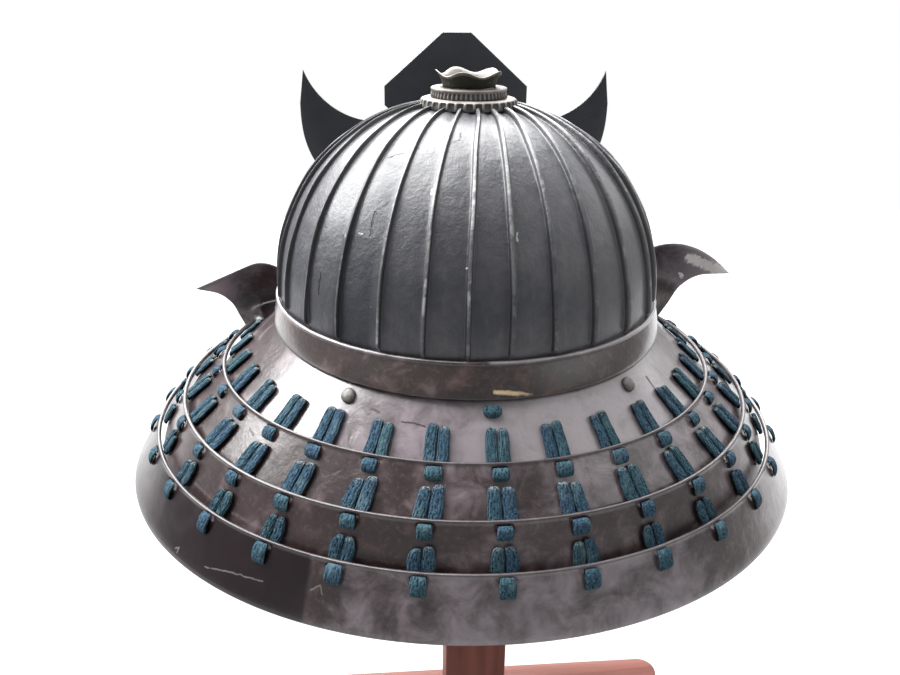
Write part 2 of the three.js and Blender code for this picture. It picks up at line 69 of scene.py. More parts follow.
camera_data = bpy.data.cameras.new("camera")
camera_data.lens = CAMERA_LENS
camera_data.sensor_width = 36.0
camera_data.clip_start = 0.01
camera = placed("camera", camera_data)
camera.location = CAMERA_PLACE
camera.rotation_mode = "QUATERNION"
camera.rotation_quaternion = ((CAMERA_AIM - CAMERA_PLACE).to_track_quat("-Z", "Y")
                              @ Quaternion((0, 0, 1), CAMERA_ROLL))
bpy.context.scene.camera = camera
bpy.context.scene.view_settings.view_transform = "Standard"


class Socket:
    """A value, colour or vector in a shader. Arithmetic on it adds Math nodes; node() adds any other."""

    def __init__(self, tree, out=None):
        self.tree = tree
        self.out = out

    def node(self, kind, settings, inputs, out=0):
        """Any other node: its type, its settings, what its sockets hold and which output is used.

        A colour is three light values, 0 to 1.
        """
        node = self.tree.nodes.new("ShaderNode" + kind)
        for key, value in settings.items():
            setattr(node, key, value)
        for key, value in inputs.items():
            if isinstance(value, Socket):
                self.tree.links.new(value.out, node.inputs[key])
            else:
                is_colour = node.inputs[key].type == "RGBA"
                node.inputs[key].default_value = (*value, 1.0) if is_colour else value
        return Socket(self.tree, node.outputs[out]) if len(node.outputs) else None

    def math(self, operation, *values):
        return self.node("Math", {"operation": operation}, dict(enumerate(values)))

    def vector(self, operation, *values, out="Vector"):
        return self.node("VectorMath", {"operation": operation}, dict(enumerate(values)), out)

    def __add__(self, other):
        return self.math("ADD", self, other)

    def __sub__(self, other):
        return self.math("SUBTRACT", self, other)

    def __rsub__(self, other):
        return self.math("SUBTRACT", other, self)

    def __mul__(self, other):
        return self.math("MULTIPLY", self, other)

    __radd__ = __add__
    __rmul__ = __mul__

    def rise(self, low, high):
        """0 at low, 1 at high and a smooth step between; low may be the greater."""
        return self.node("MapRange", {"interpolation_type": "SMOOTHSTEP"},
                         {"Value": self, "From Min": low, "From Max": high})

    def mix(self, low, high):
        """A colour that goes from low to high as this value goes from 0 to 1."""
        return self.node("Mix", {"data_type": "RGBA"}, {0: self, 6: low, 7: high}, out=2)

    def noise(self, scale, detail=3.0, roughness=0.55, distortion=0.0):
        """Cloudy noise at this point, about 0.5, with so many blobs to a metre."""
        return self.node("TexNoise", {}, {"Vector": self, "Scale": scale, "Detail": detail,
                                          "Roughness": roughness, "Distortion": distortion})

    def field(self, name):
        """A value stored on the mesh's points."""
        return self.node("Attribute", {"attribute_name": name}, {}, out="Fac")

    def parts(self):
        """The x, y and z of a vector."""
        return [self.node("SeparateXYZ", {}, {"Vector": self}, out=axis) for axis in "XYZ"]


ROOM_DIM = 0.30
# soft lights round the room: direction from the helmet, strength, and the cosines at each one's rim and core
ROOM_LIGHTS = (
    ((0.08, -0.74, 0.67), 13.0, 0.80, 0.96),    # high windows beyond the helmet
    ((0.74, -0.31, 0.60), 22.0, 0.94, 0.985),   # a lamp up to the left
    ((0.32, -0.22, 0.92), 11.5, 0.90, 0.985),   # ceiling
    ((0.85, 0.05, 0.52), 0.3, 0.75, 0.97),      # left wall
    ((0.75, -0.60, 0.25), 0.5, 0.80, 0.97),     # left corner
    ((-0.80, 0.20, 0.56), 1.2, 0.75, 0.97),     # right wall
    ((-0.76, -0.62, 0.18), 2.4, 0.88, 0.98),    # right corner
)

room = bpy.data.worlds.new("room")
room.use_nodes = True
room.node_tree.nodes.clear()
towards = Socket(room.node_tree).node("TexCoord", {}, {}, out="Generated")
above = towards.parts()[2].rise(-0.02, 0.34)
glow = ROOM_DIM
for direction, strength, rim, core in ROOM_LIGHTS:
    facing = towards.vector("DOT_PRODUCT", towards, Vector(direction).normalized(), out="Value")
    glow = glow + facing.rise(rim, core) * above * strength
seen = towards.node("LightPath", {}, {}, out="Is Camera Ray")
room_light = towards.node("Background", {}, {"Color": (1.0, 1.0, 1.0),
                                             "Strength": glow + seen * (1.0 - glow)})
room_light.node("OutputWorld", {}, {"Surface": room_light})
bpy.context.scene.world = room

FLOOR_HALF = 1.6
FLOOR_GLOW = 0.55

floor_mesh = bpy.data.meshes.new("floor")
floor_corners = np.array([(-1, -1, 0), (1, -1, 0), (1, 1, 0), (-1, 1, 0)]) * FLOOR_HALF
floor_mesh.from_pydata(floor_corners, [], [(0, 1, 2, 3)])
floor = placed("floor", floor_mesh)


def new_material(name):
    """An empty material and the Object coordinates that its pattern starts from."""
    material = bpy.data.materials.new(name)
    material.use_nodes = True
    material.node_tree.nodes.clear()
    return material, Socket(material.node_tree).node("TexCoord", {}, {}, out="Object")


def dress(point, bump_height=None, bump_depth=0.0, **inputs):
    """Closes a material with a Principled surface; bump_height and bump_depth give it relief."""
    named = {key.replace("_", " ").title().replace("Ior", "IOR"): value for key, value in inputs.items()}
    if bump_height is not None:
        relief = {"Height": bump_height, "Distance": bump_depth, "Strength": 1.0}
        named["Normal"] = point.node("Bump", {}, relief)
    surface = point.node("BsdfPrincipled", {}, named)
    point.node("OutputMaterial", {}, {"Surface": surface})


floor_paint, floor_point = new_material("floor_paint")
# painted light: the floor glows as well as being lit, fully beyond the helmet and hardly at all on the
# camera's side, so it stays white
beyond = floor_point.parts()[1].rise(0.08, -0.22)
dress(floor_point, base_color=(0.22, 0.22, 0.222), roughness=0.9,
      emission_color=beyond.mix((0.03, 0.03, 0.03), (1.0, 1.0, 1.0)),
      emission_strength=FLOOR_GLOW)
floor.data.materials.append(floor_paint)


# ---- bowl ----------------------------------------------------------------
# Thirty-two iron plates riveted side by side, each overlapping the next and turned up along one edge
# into a narrow rib, then blackened with thin lacquer. Open at the crown and below.

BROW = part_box("waist_band")[1].z
BOWL_HALF_WIDTH = 0.0984
BOWL_HALF_LENGTH = 0.1060
BOWL_HEIGHT = 0.0980
BOWL_FOOT = -0.0030
BOWL_POWER = 2.22
BOWL_WALL = 0.0020
CROWN_HOLE = 0.0140
PLATES = 32
RIBS_BEHIND = np.radians((-67.0, -53.2, -39.8, -27.6, -16.1, -5.5, 4.7, 15.4, 27.4, 41.0, 56.5))
RIB_LEAN = 0.10
RIB_LEAN_MOST = 0.85
RIB_LEAN_POWER = 1.74
RIB_LEAN_TURN = 0.29
RIB_HEIGHT = 0.0022
RIB_HALF = 0.00095
RIB_SPREAD = 0.0031
RIB_START = 0.0008
RIB_START_LENGTH = 0.0012
RIB_WOBBLE = 0.0003
RIB_VARIES = 0.10
RIB_PITCH_SHARE = 0.40
# how fast a rib's line wobbles, coarse and fine, and its height varies, over its climb
RIB_WAVES = (3.1, 9.0, 14.0)
PLATE_STEP = 0.0007
# the climbs of the lowest rows, where the ribs begin, and how many rows there are above them and inside
FOOT_CLIMBS = np.radians((0.0, 0.8, 1.5, 2.0, 2.5, 3.0, 3.6, 4.4, 5.4, 6.5))
OUTER_ROWS = 74
INNER_ROWS = 14
# where points lie beside a rib's middle, as shares of its spread, and between two ribs
RIB_STATIONS = np.array([0.0, 0.15, 0.22, 0.27, 0.31, 0.36, 0.43, 0.60, 1.0])
FLAT_STATIONS = np.array([0.2, 0.4, 0.6, 0.8])
PATCHED_PLATE = 2
PATCHED_TONE = 2.2
PATCH_TOP = math.radians(28.5)


def oval_radius(angle, half_width, back, front):
    """Polar radius of an oval: 1 / hypot(sin / half width, cos / half length, back or front)."""
    length = np.where(np.cos(angle) >= 0, back, front)
    return 1 / np.hypot(np.sin(angle) / half_width, np.cos(angle) / length)


def polar(radius, angle, z):
    """Points (-radius sin angle, radius cos angle, brow + z)."""
    radius, angle, z = np.broadcast_arrays(radius, angle, z)
    return np.stack([-radius * np.sin(angle), radius * np.cos(angle), BROW + z], axis=-1)


def make_piece(name, points, faces, fields=None):
    """An object at the origin: points, arrays of faces by number of corners, values stored on its points."""
    points = np.asarray(points, dtype=np.float64).reshape(-1, 3)
    corners = np.concatenate([group.ravel() for group in faces])
    sizes = np.concatenate([np.full(len(group), group.shape[1]) for group in faces])
    fans = [(group[:, 0], group[:, k], group[:, k + 1])
            for group in faces for k in range(1, group.shape[1] - 1)]
    volume = sum(np.einsum("ij,ij->", points[a], np.cross(points[b], points[c])) for a, b, c in fans)
    mesh = bpy.data.meshes.new(name)
    mesh.vertices.add(len(points))
    mesh.vertices.foreach_set("co", points.ravel())
    mesh.loops.add(len(corners))
    mesh.loops.foreach_set("vertex_index", corners.astype(np.int32))
    mesh.polygons.add(len(sizes))
    mesh.polygons.foreach_set("loop_start", (np.cumsum(sizes) - sizes).astype(np.int32))
    mesh.update(calc_edges=True)
    if volume < 0:
        mesh.flip_normals()
    mesh.polygons.foreach_set("use_smooth", np.ones(len(sizes), dtype=bool))
    for field, values in (fields or {}).items():
        attribute = mesh.attributes.new(field, "FLOAT", "POINT")
        attribute.data.foreach_set("value", np.asarray(values, dtype=np.float32).ravel())
    return placed(name, mesh)


def grid_faces(rows, columns, wrap_rows, wrap_columns):
    """Quads over a grid of points numbered row by row; a wrapped way joins its last line to its first."""
    index = np.arange(rows * columns).reshape(rows, columns)
    if wrap_rows:
        index = np.concatenate([index, index[:1]])
    if wrap_columns:
        index = np.concatenate([index, index[:, :1]], axis=1)
    quads = np.stack([index[:-1, :-1], index[:-1, 1:], index[1:, 1:], index[1:, :-1]], axis=-1)
    return quads.reshape(-1, 4)


def make_ring(name, points, fields=None):
    """A closed ring from points [around its section, around the helmet]."""
    rows, columns = points.shape[:2]
    return make_piece(name, points, [grid_faces(rows, columns, True, True)], fields)


def settle(piece, material, slot, *nodes):
    """Gives a piece its material, sets it on the root body and lets it stand for its CAD nodes. The slot is
    not used.
    """
    piece.data.materials.append(material)
    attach(piece, "root")
    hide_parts(*nodes)


def bowl_sheet(climb, inset, ribbed):
    """One face of the bowl over climb (rows) and plates (columns), with its rib and tone fields.

    The meridian is a superellipse: radius = oval * cos(climb)^(2/p), z = foot + height * sin(climb)^(2/p).
    A rib leans away from the middle of the back by most * tanh(lean / most * tan(climb)^power) times
    sin(angle + turn). A point is then lifted along the normal by the rib, rib height / (1 + (x / half)^10)
    at a distance x from the rib's middle, and by the plates' overlap, a slope from one rib to the next.
    """
    share = np.cos(climb) ** (2 / BOWL_POWER)
    z = BOWL_FOOT + (BOWL_HEIGHT - inset) * np.sin(climb) ** (2 / BOWL_POWER)
    run = np.gradient((BOWL_HALF_LENGTH - inset) * share)
    rise = np.gradient(z)
    outward, upward = rise / np.hypot(run, rise), -run / np.hypot(run, rise)
    share, z, outward, upward = (value[:, None, None] for value in (share, z, outward, upward))

    half_width, half_length = BOWL_HALF_WIDTH - inset, BOWL_HALF_LENGTH - inset
    phases = np.random.default_rng(11).uniform(0, 2 * math.pi, (3, 1, PLATES, 1))
    unseen = PLATES - len(RIBS_BEHIND)
    rest = np.linspace(RIBS_BEHIND[-1], RIBS_BEHIND[0] + 2 * math.pi, unseen + 2)[1:-1]
    foot_angle = np.concatenate([RIBS_BEHIND, rest])[None, :, None]
    climb = climb[:, None, None]
    lean = RIB_LEAN_MOST * np.tanh(RIB_LEAN / RIB_LEAN_MOST * np.tan(climb) ** RIB_LEAN_POWER)
    middle = foot_angle + lean * np.sin(foot_angle + RIB_LEAN_TURN)
    radius = oval_radius(middle, half_width, half_length, half_length) * share
    coarse, fine, uneven = (np.sin(often * climb + phase) for often, phase in zip(RIB_WAVES, phases))
    wave = coarse + 0.6 * fine
    middle = middle + RIB_WOBBLE * wave / np.maximum(radius, 4 * CROWN_HOLE)
    pitch = np.roll(middle, -1, axis=1) - middle
    pitch[:, -1] += 2 * math.pi
    reach = np.minimum(RIB_SPREAD / radius, RIB_PITCH_SHARE * np.minimum(pitch, np.roll(pitch, 1, axis=1)))
    far_reach = np.roll(reach, -1, axis=1)
    stations = np.concatenate([-RIB_STATIONS[:0:-1], RIB_STATIONS])
    beside = reach * stations
    gap = pitch - reach - far_reach
    offset = np.concatenate([beside, reach + gap * FLAT_STATIONS], axis=2)
    angle = middle + offset
    across = (offset - reach) / gap
    rib = 1 / (1 + (offset / reach * RIB_SPREAD / RIB_HALF) ** 10)
    step = np.where(across < 0, 0.5 * np.tanh(offset / reach * 4), 0.5 - across)
    start = np.clip((z - RIB_START) / RIB_START_LENGTH, 0, 1)
    height = RIB_HEIGHT * (1 + RIB_VARIES * uneven)
    lift = (rib * height * start + step * PLATE_STEP) * ribbed
    flat = oval_radius(angle, half_width, half_length, half_length) * share
    points = polar(flat + lift * outward, angle, z + lift * upward)
    tone = np.random.default_rng(5).uniform(0, 1, (1, PLATES, 1)) + 0 * offset
    tone[:, PATCHED_PLATE] = np.where(climb[:, 0] < PATCH_TOP, PATCHED_TONE, tone[:, PATCHED_PLATE])
    flatten = (len(climb), -1)
    ridge = np.broadcast_to(rib * start * ribbed, points.shape[:3]).reshape(flatten)
    return points.reshape(*flatten, 3), ridge, tone.reshape(flatten)


def crown_climb(inset):
    """The climb at which the bowl has closed in to the crown hole."""
    return math.acos((CROWN_HOLE / (BOWL_HALF_WIDTH - inset)) ** (BOWL_POWER / 2))


outer_climb = np.concatenate([FOOT_CLIMBS[:-1], np.linspace(FOOT_CLIMBS[-1], crown_climb(0.0), OUTER_ROWS)])
inner_climb = np.linspace(crown_climb(BOWL_WALL), 0.0, INNER_ROWS)
bowl_sheets = bowl_sheet(outer_climb, 0.0, 1.0), bowl_sheet(inner_climb, BOWL_WALL, 0.0)
bowl_points, bowl_ridge, bowl_tone = (np.concatenate(both) for both in zip(*bowl_sheets))
bowl = make_ring("ribbed_bowl", bowl_points, {"ridge": bowl_ridge, "tone": bowl_tone})

# cracks and chips in the film: angle (degrees) and height from the brow (mm) of both ends, half width (mm)
CRACKS = ((-34.2, 57, -33.6, 48, 0.8), (-48.5, 27, -48.2, 18, 0.8), (-43.0, 75, -34.5, 79, 0.7),
          (-14.5, 92, -10.0, 85, 0.5), (-10.0, 85, -14.0, 84, 0.5), (-32.0, 80, -28.5, 81, 0.6))
CHIPS = ((-42.2, 46, -41.6, 46, 1.3), (-38.8, 47.6, -36.2, 48.0, 0.35), (-17.6, 68, -17.3, 66, 0.7),
         (-30.2, 19, -30.0, 19, 0.5), (7.4, 52, 7.2, 49, 0.7), (-6.2, 39, -6.0, 39, 0.6))


def on_bowl(degrees, height):
    """The place on the bowl's face at an angle and a height from the brow in millimetres."""
    share = (1 - ((height / 1000 - BOWL_FOOT) / BOWL_HEIGHT) ** BOWL_POWER) ** (1 / BOWL_POWER)
    angle = math.radians(degrees)
    radius = float(oval_radius(angle, BOWL_HALF_WIDTH, BOWL_HALF_LENGTH, BOWL_HALF_LENGTH)) * share
    return Vector(polar(radius, angle, height / 1000))


def marks(point, places, ragged=0.0018):
    """1 on the straight lines between pairs of places, fading to 0 at their half widths.

    The nearest point of a line is start + way * t, where t = (point - start) . way / way^2 kept within 0
    to 1. The lines are made ragged by shifting the point with noise.
    """
    noise = point.node("TexNoise", {}, {"Vector": point, "Scale": 420.0, "Detail": 2.0}, out="Color")
    torn = point.vector("ADD", point, noise.vector("MULTIPLY_ADD", noise, (ragged,) * 3, (-ragged / 2,) * 3))
    total = 0.0
    for start, end, half in places:
        way = end - start
        away = torn.vector("SUBTRACT", torn, start)
        along = away.vector("DOT_PRODUCT", away, way / way.length_squared, out="Value")
        nearest = away.vector("MULTIPLY", way, along.node("Clamp", {}, {"Value": along}))
        gap = away.vector("DISTANCE", away, nearest, out="Value")
        total = total + gap.rise(half, half * 0.5)
    return total


bowl_iron, bowl_point = new_material("bowl_iron")
ridge, tone = bowl_point.field("ridge"), bowl_point.field("tone")
cloud = bowl_point.noise(38.0, detail=6.0, roughness=0.6)
mottle = bowl_point.noise(130.0, detail=6.0, roughness=0.7)
streak = bowl_point.vector("MULTIPLY", bowl_point, (1.0, 1.0, 0.16)).noise(240.0, detail=5.0, roughness=0.6)
fine = bowl_point.noise(900.0)
cracked, chipped = (marks(bowl_point, [(on_bowl(*group[:2]), on_bowl(*group[2:4]), group[4] / 1000)
                                       for group in groups]) for groups in (CRACKS, CHIPS))
broken = bowl_point.noise(95.0, detail=5.0, roughness=0.7).rise(0.47, 0.60)
# partly wear, partly painted highlight: the rib crests are paler in broken patches, and nearly white in some
wear_and_highlight = ridge.rise(0.88, 1.0) * broken
bright = wear_and_highlight * bowl_point.noise(34.0, detail=4.0).rise(0.50, 0.60)
# painted shade: darker on the lower sides of each rib, where it meets the plate
rib_foot_shade = ridge.rise(0.01, 0.12) * ridge.rise(0.80, 0.30)
film = (cloud * 0.7 + mottle * 0.5 + tone * 0.10 - 0.15).rise(0.32, 0.62)
iron = film.mix((0.054, 0.054, 0.063), (0.024, 0.026, 0.034))
iron = (streak.rise(0.50, 0.72) * 0.5).mix(iron, (0.075, 0.071, 0.072))
iron = (bowl_point.noise(16.0, detail=4.0).rise(0.50, 0.66) * 0.5).mix(iron, (0.048, 0.038, 0.044))
side, _, tall = bowl_point.parts()
# painted reflection: paler low down on the bowl's right (-X) side
painted_sheen_low_right = side.rise(-0.02, -0.085) * tall.rise(BROW + 0.085, BROW + 0.030)
iron = (painted_sheen_low_right * 0.8).mix(iron, (0.090, 0.090, 0.096))
patched = tone.rise(1.2, 2.0)
iron = (patched * 0.85).mix(iron, (0.012, 0.014, 0.022))
iron = (rib_foot_shade * 0.8).mix(iron, (0.005, 0.005, 0.006))
iron = (wear_and_highlight * 0.6).mix(iron, (0.13, 0.13, 0.13))
iron = (bright * 0.38).mix(iron, (0.42, 0.42, 0.41))
iron = (cracked * 0.95).mix(iron, (0.004, 0.004, 0.005))
iron = (chipped * 0.9).mix(iron, (0.46, 0.45, 0.43))
dress(bowl_point, base_color=iron, ior=1.55, coat_weight=0.25 - patched * 0.22, coat_roughness=0.22,
      roughness=0.33 + mottle * 0.22 + cloud * 0.08 - wear_and_highlight * 0.1 + patched * 0.12,
      bump_height=cloud * 0.9 + mottle * 0.42 + streak * 0.22 + fine * 0.10 - cracked * 1.2,
      bump_depth=0.0012)
settle(bowl, bowl_iron, "bowl_iron", "bowl")


# ---- waist band ----------------------------------------------------------
# A flared iron band in brown lacquer, rolled over into a thin lip along its top. The bowl sits inside
# it and the first lame hangs from its foot.

BAND_TOP = (0.1010, 0.1086, 0.1086)
BAND_FOOT = (0.1026, 0.1157, 0.1105)
BAND_HEIGHT = 0.0150
BAND_COLUMNS = 240
LIP_DOWN = 0.0004
LIP_SPREAD = 0.0007
LIP_PALE = 1.8
# bare wood-coloured chip on the band's lower edge: its two ends and its half width
CHIP = (Vector((-0.0010, 0.1149, BROW - 0.0113)), Vector((-0.0175, 0.1143, BROW - 0.0130)), 0.0015)


def band_point(angle, down, inset):
    """On the band's cone at a depth below its top, pushed in by the inset."""
    share = down / BAND_HEIGHT
    radius = (1 - share) * oval_radius(angle, *BAND_TOP) + share * oval_radius(angle, *BAND_FOOT)
    return polar(radius - inset, angle, -down)


def full_turn(count):
    """Angles evenly round a circle."""
    return np.arange(count) * 2 * math.pi / count


# the band's section: depth below its top and how far in from its cone, millimetres
band_section = np.array([
    (0.3, 1.45), (0.05, 1.2), (0.0, 0.9), (0.08, 0.5), (0.3, 0.2), (0.65, 0.05), (1.0, 0.1), (1.3, 0.28),
    (1.6, 0.45), (2.0, 0.5), (2.6, 0.45), (4.0, 0.35), (6.0, 0.2), (8.5, 0.08), (11.0, 0.05), (13.0, 0.1),
    (14.3, 0.2), (14.8, 0.4), (15.0, 0.8), (14.8, 1.3), (14.0, 1.5), (8.0, 1.6), (3.0, 1.5)]) / 1000
band_down, band_inset = band_section[:, :1], band_section[:, 1:]
band_turn = full_turn(BAND_COLUMNS)
# painted highlight: the lip is pale along its crest all round, but for a stretch just left of the middle of
# the back
lip_highlight = (LIP_PALE * np.exp(-((band_down - LIP_DOWN) / LIP_SPREAD) ** 2)
            * np.interp(np.degrees(band_turn), (280, 325, 350), (1, 0.9, 0)))
band = make_ring("flared_waist_band", band_point(band_turn, band_down, band_inset), {"pale": lip_highlight})


def lacquer(name, deep, light, rust, shine, wear_and_highlight=(), slits=()):
    """Old brown lacquer: clouded, and painted paler or darker as the pale field is above or below 0, as a
    painted sheen and a painted shade.

    It is dark and dull where the edge field is 1. The worn marks are sets of marks with how ragged they are
    and their colour: scratches and chips, and painted highlights; slits are marks that go through the
    lacquer.
    """
    material, point = new_material(name)
    edge, pale = point.field("edge"), point.field("pale")
    cloud = point.noise(22.0, detail=5.0, roughness=0.6)
    blotch = point.noise(80.0, detail=7.0, roughness=0.62, distortion=0.5)
    fine = point.noise(420.0, detail=4.0)
    base = cloud.rise(0.35, 0.65).mix(deep, light)
    base = (blotch.rise(0.50, 0.68) * 0.7).mix(base, rust)
    # painted sheen: mauve-grey where the pale field is high, clouded
    painted_light = (pale + (blotch - 0.5) * 3.0 + (cloud - 0.5) * 2.2).rise(0.0, 1.7)
    base = painted_light.mix(base, (0.197, 0.168, 0.186))
    # painted highlight: nearly white where the pale field is highest
    base = pale.rise(1.0, 3.0).mix(base, (0.45, 0.43, 0.43))
    # painted shade: near black, and without its coat, where the pale field is below 0
    dark = pale.rise(-0.02, -0.3)
    base = (dark * 0.85).mix(base, (0.008, 0.005, 0.007))
    base = (fine.rise(0.50, 0.80) * (1.0 - dark) * 0.12).mix(base, (0.30, 0.28, 0.28))
    for places, ragged, mark_colour in wear_and_highlight:
        base = (marks(point, places, ragged) * (0.3 + blotch * 1.4)).mix(base, mark_colour)
    base = (edge * 0.8).mix(base, (0.034, 0.026, 0.027))
    dull = dark + edge * 0.55
    if slits:
        cut = marks(point, slits, 0.0012)
        base = (cut * 0.9).mix(base, (0.022, 0.011, 0.010))
        dull = dull + cut
    dress(point, base_color=base, roughness=shine + blotch * 0.20 - dark * 0.12 + edge * 0.14,
          coat_weight=0.8 - dull * 0.8, coat_roughness=0.20,
          bump_height=(cloud * 0.8 + blotch * 0.5 + fine * 0.05) * (1.0 - dark * 0.85), bump_depth=0.0012)
    return material


band_lacquer = lacquer("band_lacquer", (0.022, 0.015, 0.014), (0.042, 0.027, 0.025), (0.065, 0.033, 0.026),
                       0.26, wear_and_highlight=[([CHIP], 0.0008, (0.60, 0.45, 0.28))])
settle(band, band_lacquer, "brown_lacquer", "waist_band")


# ---- crown ornament ------------------------------------------------------
# Gilt copper worn to brown and grey, in three stacked pieces: a collar of upright petals, a fluted ring
# with a thin flange, and a flared cup whose rim curls into five lobes. The bowl's opening is below them.

PETALS = 34
PETAL_DEPTH = 0.0009
FLUTES = 52
FLUTE_DEPTH = 0.0006
FLUTE_DARK = 0.0005
CUP_LOBES = 5
CUP_WAVE = 0.0013
CUP_FLARE = 0.0007
CUP_TURN = math.radians(17)
CROWN_COLUMNS = 480

crown_turn = full_turn(CROWN_COLUMNS)


def spun(name, section, more, higher=0.0, dull=0.0, dark_depth=math.inf):
    """A ring spun from (radius, height) in mm from the brow, moved out by more and up by higher.

    Its groove field is 1 where it goes in by the dark depth.
    """
    section = np.array(section) / 1000
    points = polar(section[:, :1] + more, crown_turn, section[:, 1:] + higher)
    return make_ring(name, points, {"groove": -more / dark_depth, "dull": dull + 0.0 * more})


def by_row(*shares):
    """A share for each row of a section."""
    return np.array(shares)[:, None]


# narrow frames stand round the collar, with a hollow panel between each two
panel = 1 - np.exp(-(np.sin(crown_turn * PETALS / 2) / 0.45) ** 4)
collar = spun("petal_collar",
              [(24.4, 93.7), (24.6, 95.3), (24.5, 96.2), (24.3, 97.0), (23.9, 97.6), (22.8, 97.9),
               (20.6, 98.2), (12.5, 98.2), (12.5, 94.9)],
              -PETAL_DEPTH * panel * by_row(0, 0.9, 1, 0.9, 0.2, 0, 0, 0, 0), dark_depth=PETAL_DEPTH)

# fine flutes run round the ring below its flange
flute = 0.5 + 0.5 * np.cos(crown_turn * FLUTES)
fluted = spun("fluted_ring",
              [(19.3, 98.5), (19.5, 98.9), (19.2, 100.0), (18.9, 101.2), (18.8, 101.6), (19.1, 101.9),
               (19.2, 102.4), (18.9, 103.0), (12.5, 103.0), (12.5, 98.5)],
              -FLUTE_DEPTH * flute * by_row(1, 1, 1, 1, 0.3, 0, 0, 0, 0, 0), dull=0.4, dark_depth=FLUTE_DARK)

# the cup's rim swings out and up at each lobe, most at the lip; its outside is dull
lobe = (np.cos((crown_turn + CUP_TURN) * CUP_LOBES)
        * by_row(0, 0, 0, 0.15, 0.4, 0.75, 1, 1.05, 1, 0.75, 0.4, 0.15, 0, 0))
cup = spun("lobed_cup",
           [(12.9, 103.3), (13.3, 103.5), (13.4, 104.4), (13.7, 105.6), (14.2, 107.0), (14.9, 108.4),
            (15.9, 109.6), (16.3, 110.0), (15.9, 110.2), (14.6, 109.4), (13.3, 107.9), (12.3, 105.9),
            (11.6, 104.2), (11.4, 103.3)],
           CUP_FLARE * lobe, CUP_WAVE * lobe, by_row(1, 1, 1, 1, 1, 1, 0.4, 0, 0, 0.1, 0.2, 0.3, 0.5, 0.5))

crown_metal, crown_point = new_material("crown_metal")
groove, dull = crown_point.field("groove"), crown_point.field("dull")
patina = crown_point.noise(120.0, detail=4.0)
pitted = crown_point.noise(700.0, detail=4.0)
metal = patina.rise(0.35, 0.65).mix((0.24, 0.21, 0.19), (0.42, 0.39, 0.36))
metal = (dull * pitted.rise(0.15, 0.40)).mix(metal, (0.026, 0.025, 0.018))
metal = (groove.rise(0.1, 0.8) * 0.9).mix(metal, (0.050, 0.056, 0.066))
dress(crown_point, base_color=metal, metallic=0.1, specular_ior_level=0.3,
      roughness=0.42 + patina * 0.2 + dull * 0.2, bump_height=patina * 0.4 + pitted * 0.1, bump_depth=0.0006)
settle(collar, crown_metal, "crown_metal", "crown_collar")
settle(fluted, crown_metal, "crown_metal", "crown_ring")
settle(cup, crown_metal, "crown_metal", "crown_cup")


# ---- neck guard ----------------------------------------------------------
# Four iron lames in glossy brown lacquer, each hanging in front of the one above and rolled over into a
# bead along its top, with a slot under the bead for every lace. The first lame has no bead; its ends
# are drawn out into wings that turn back beside the bowl.

# edges from the band down: half width, half length to back and front, depth, rise towards the brow
LAME_EDGES = np.array([(99.8, 112.9, 107.7, 15.6, 0.0), (130.0, 135.4, 133.0, 33.8, -2.0),
                       (151.5, 153.2, 153.0, 50.5, -1.0), (166.4, 163.4, 166.0, 68.8, 0.0),
                       (181.5, 172.7, 180.0, 96.6, 2.0)]) / 1000
LAST_LAME = len(LAME_EDGES) - 2
LAME_ENDS = np.radians((112, 112, 115, 115))
LAME_WALL = 0.0020
LAME_ROOM = 0.0030
LAME_TUCK = 0.0100
TUCK_TURN = math.radians(10)
LACE_SIDE = 9
LACE_PITCHES = np.radians((11.4, 11.55, 12.0, 12.35))
LACE_TURN = math.radians(0.3)
SLOT_HALF = 0.0031
SLOT_ROWS = (8, 10)
SLOT_COLUMNS = 4
PLAIN_COLUMNS = 10
FIRST_COLUMNS = 241


def unit(vectors):
    """Vectors made 1 long."""
    return vectors / np.linalg.norm(vectors, axis=-1, keepdims=True)


def lame_edge(index, angle):
    """Radius and height of an edge in the plane of an angle."""
    half_width, back, front, depth, rise = LAME_EDGES[index]
    radius = oval_radius(angle, half_width, back, front)
    return np.stack([radius, -depth + rise * (1 - np.cos(angle))], axis=-1)


def lame_axes(index, angle):
    """A lame's upper edge, direction downwards, outward normal and length, in the plane of an angle."""
    top, following = lame_edge(index, angle), lame_edge(index + 1, angle)
    fall = unit(following - top)
    behind = LAME_WALL + LAME_ROOM if index < LAST_LAME else 0.0
    under = following - behind * fall[..., ::-1] * (-1, 1)
    down = unit(under - top)
    return top, down, down[..., ::-1] * (-1, 1), np.linalg.norm(under - top, axis=-1)


def on_lame(index, angle, distance, lift):
    """The point on a lame at a distance below its upper edge and a lift off its face.

    Past its length, every lame but the last is tucked in behind the next, turned inwards.
    """
    angle, distance, lift = np.broadcast_arrays(angle, distance, lift)
    top, down, normal, length = lame_axes(index, angle)
    tucked = np.maximum(distance - length, 0.0) * (index < LAST_LAME)
    spot = (top + down * (distance - tucked * (1 - math.cos(TUCK_TURN)))[..., None]
            + normal * (lift - tucked * math.sin(TUCK_TURN))[..., None])
    return polar(spot[..., 0], angle, spot[..., 1])


def lace_angle(index, column):
    """Angle of a column of lacing at the top of a lame."""
    return np.asarray(column) * LACE_PITCHES[index] + LACE_TURN


def border(index):
    """The numbers round a grid's four sides."""
    return np.concatenate([index[0], index[1:, -1], index[-1, -2::-1], index[-2:0:-1, 0]])


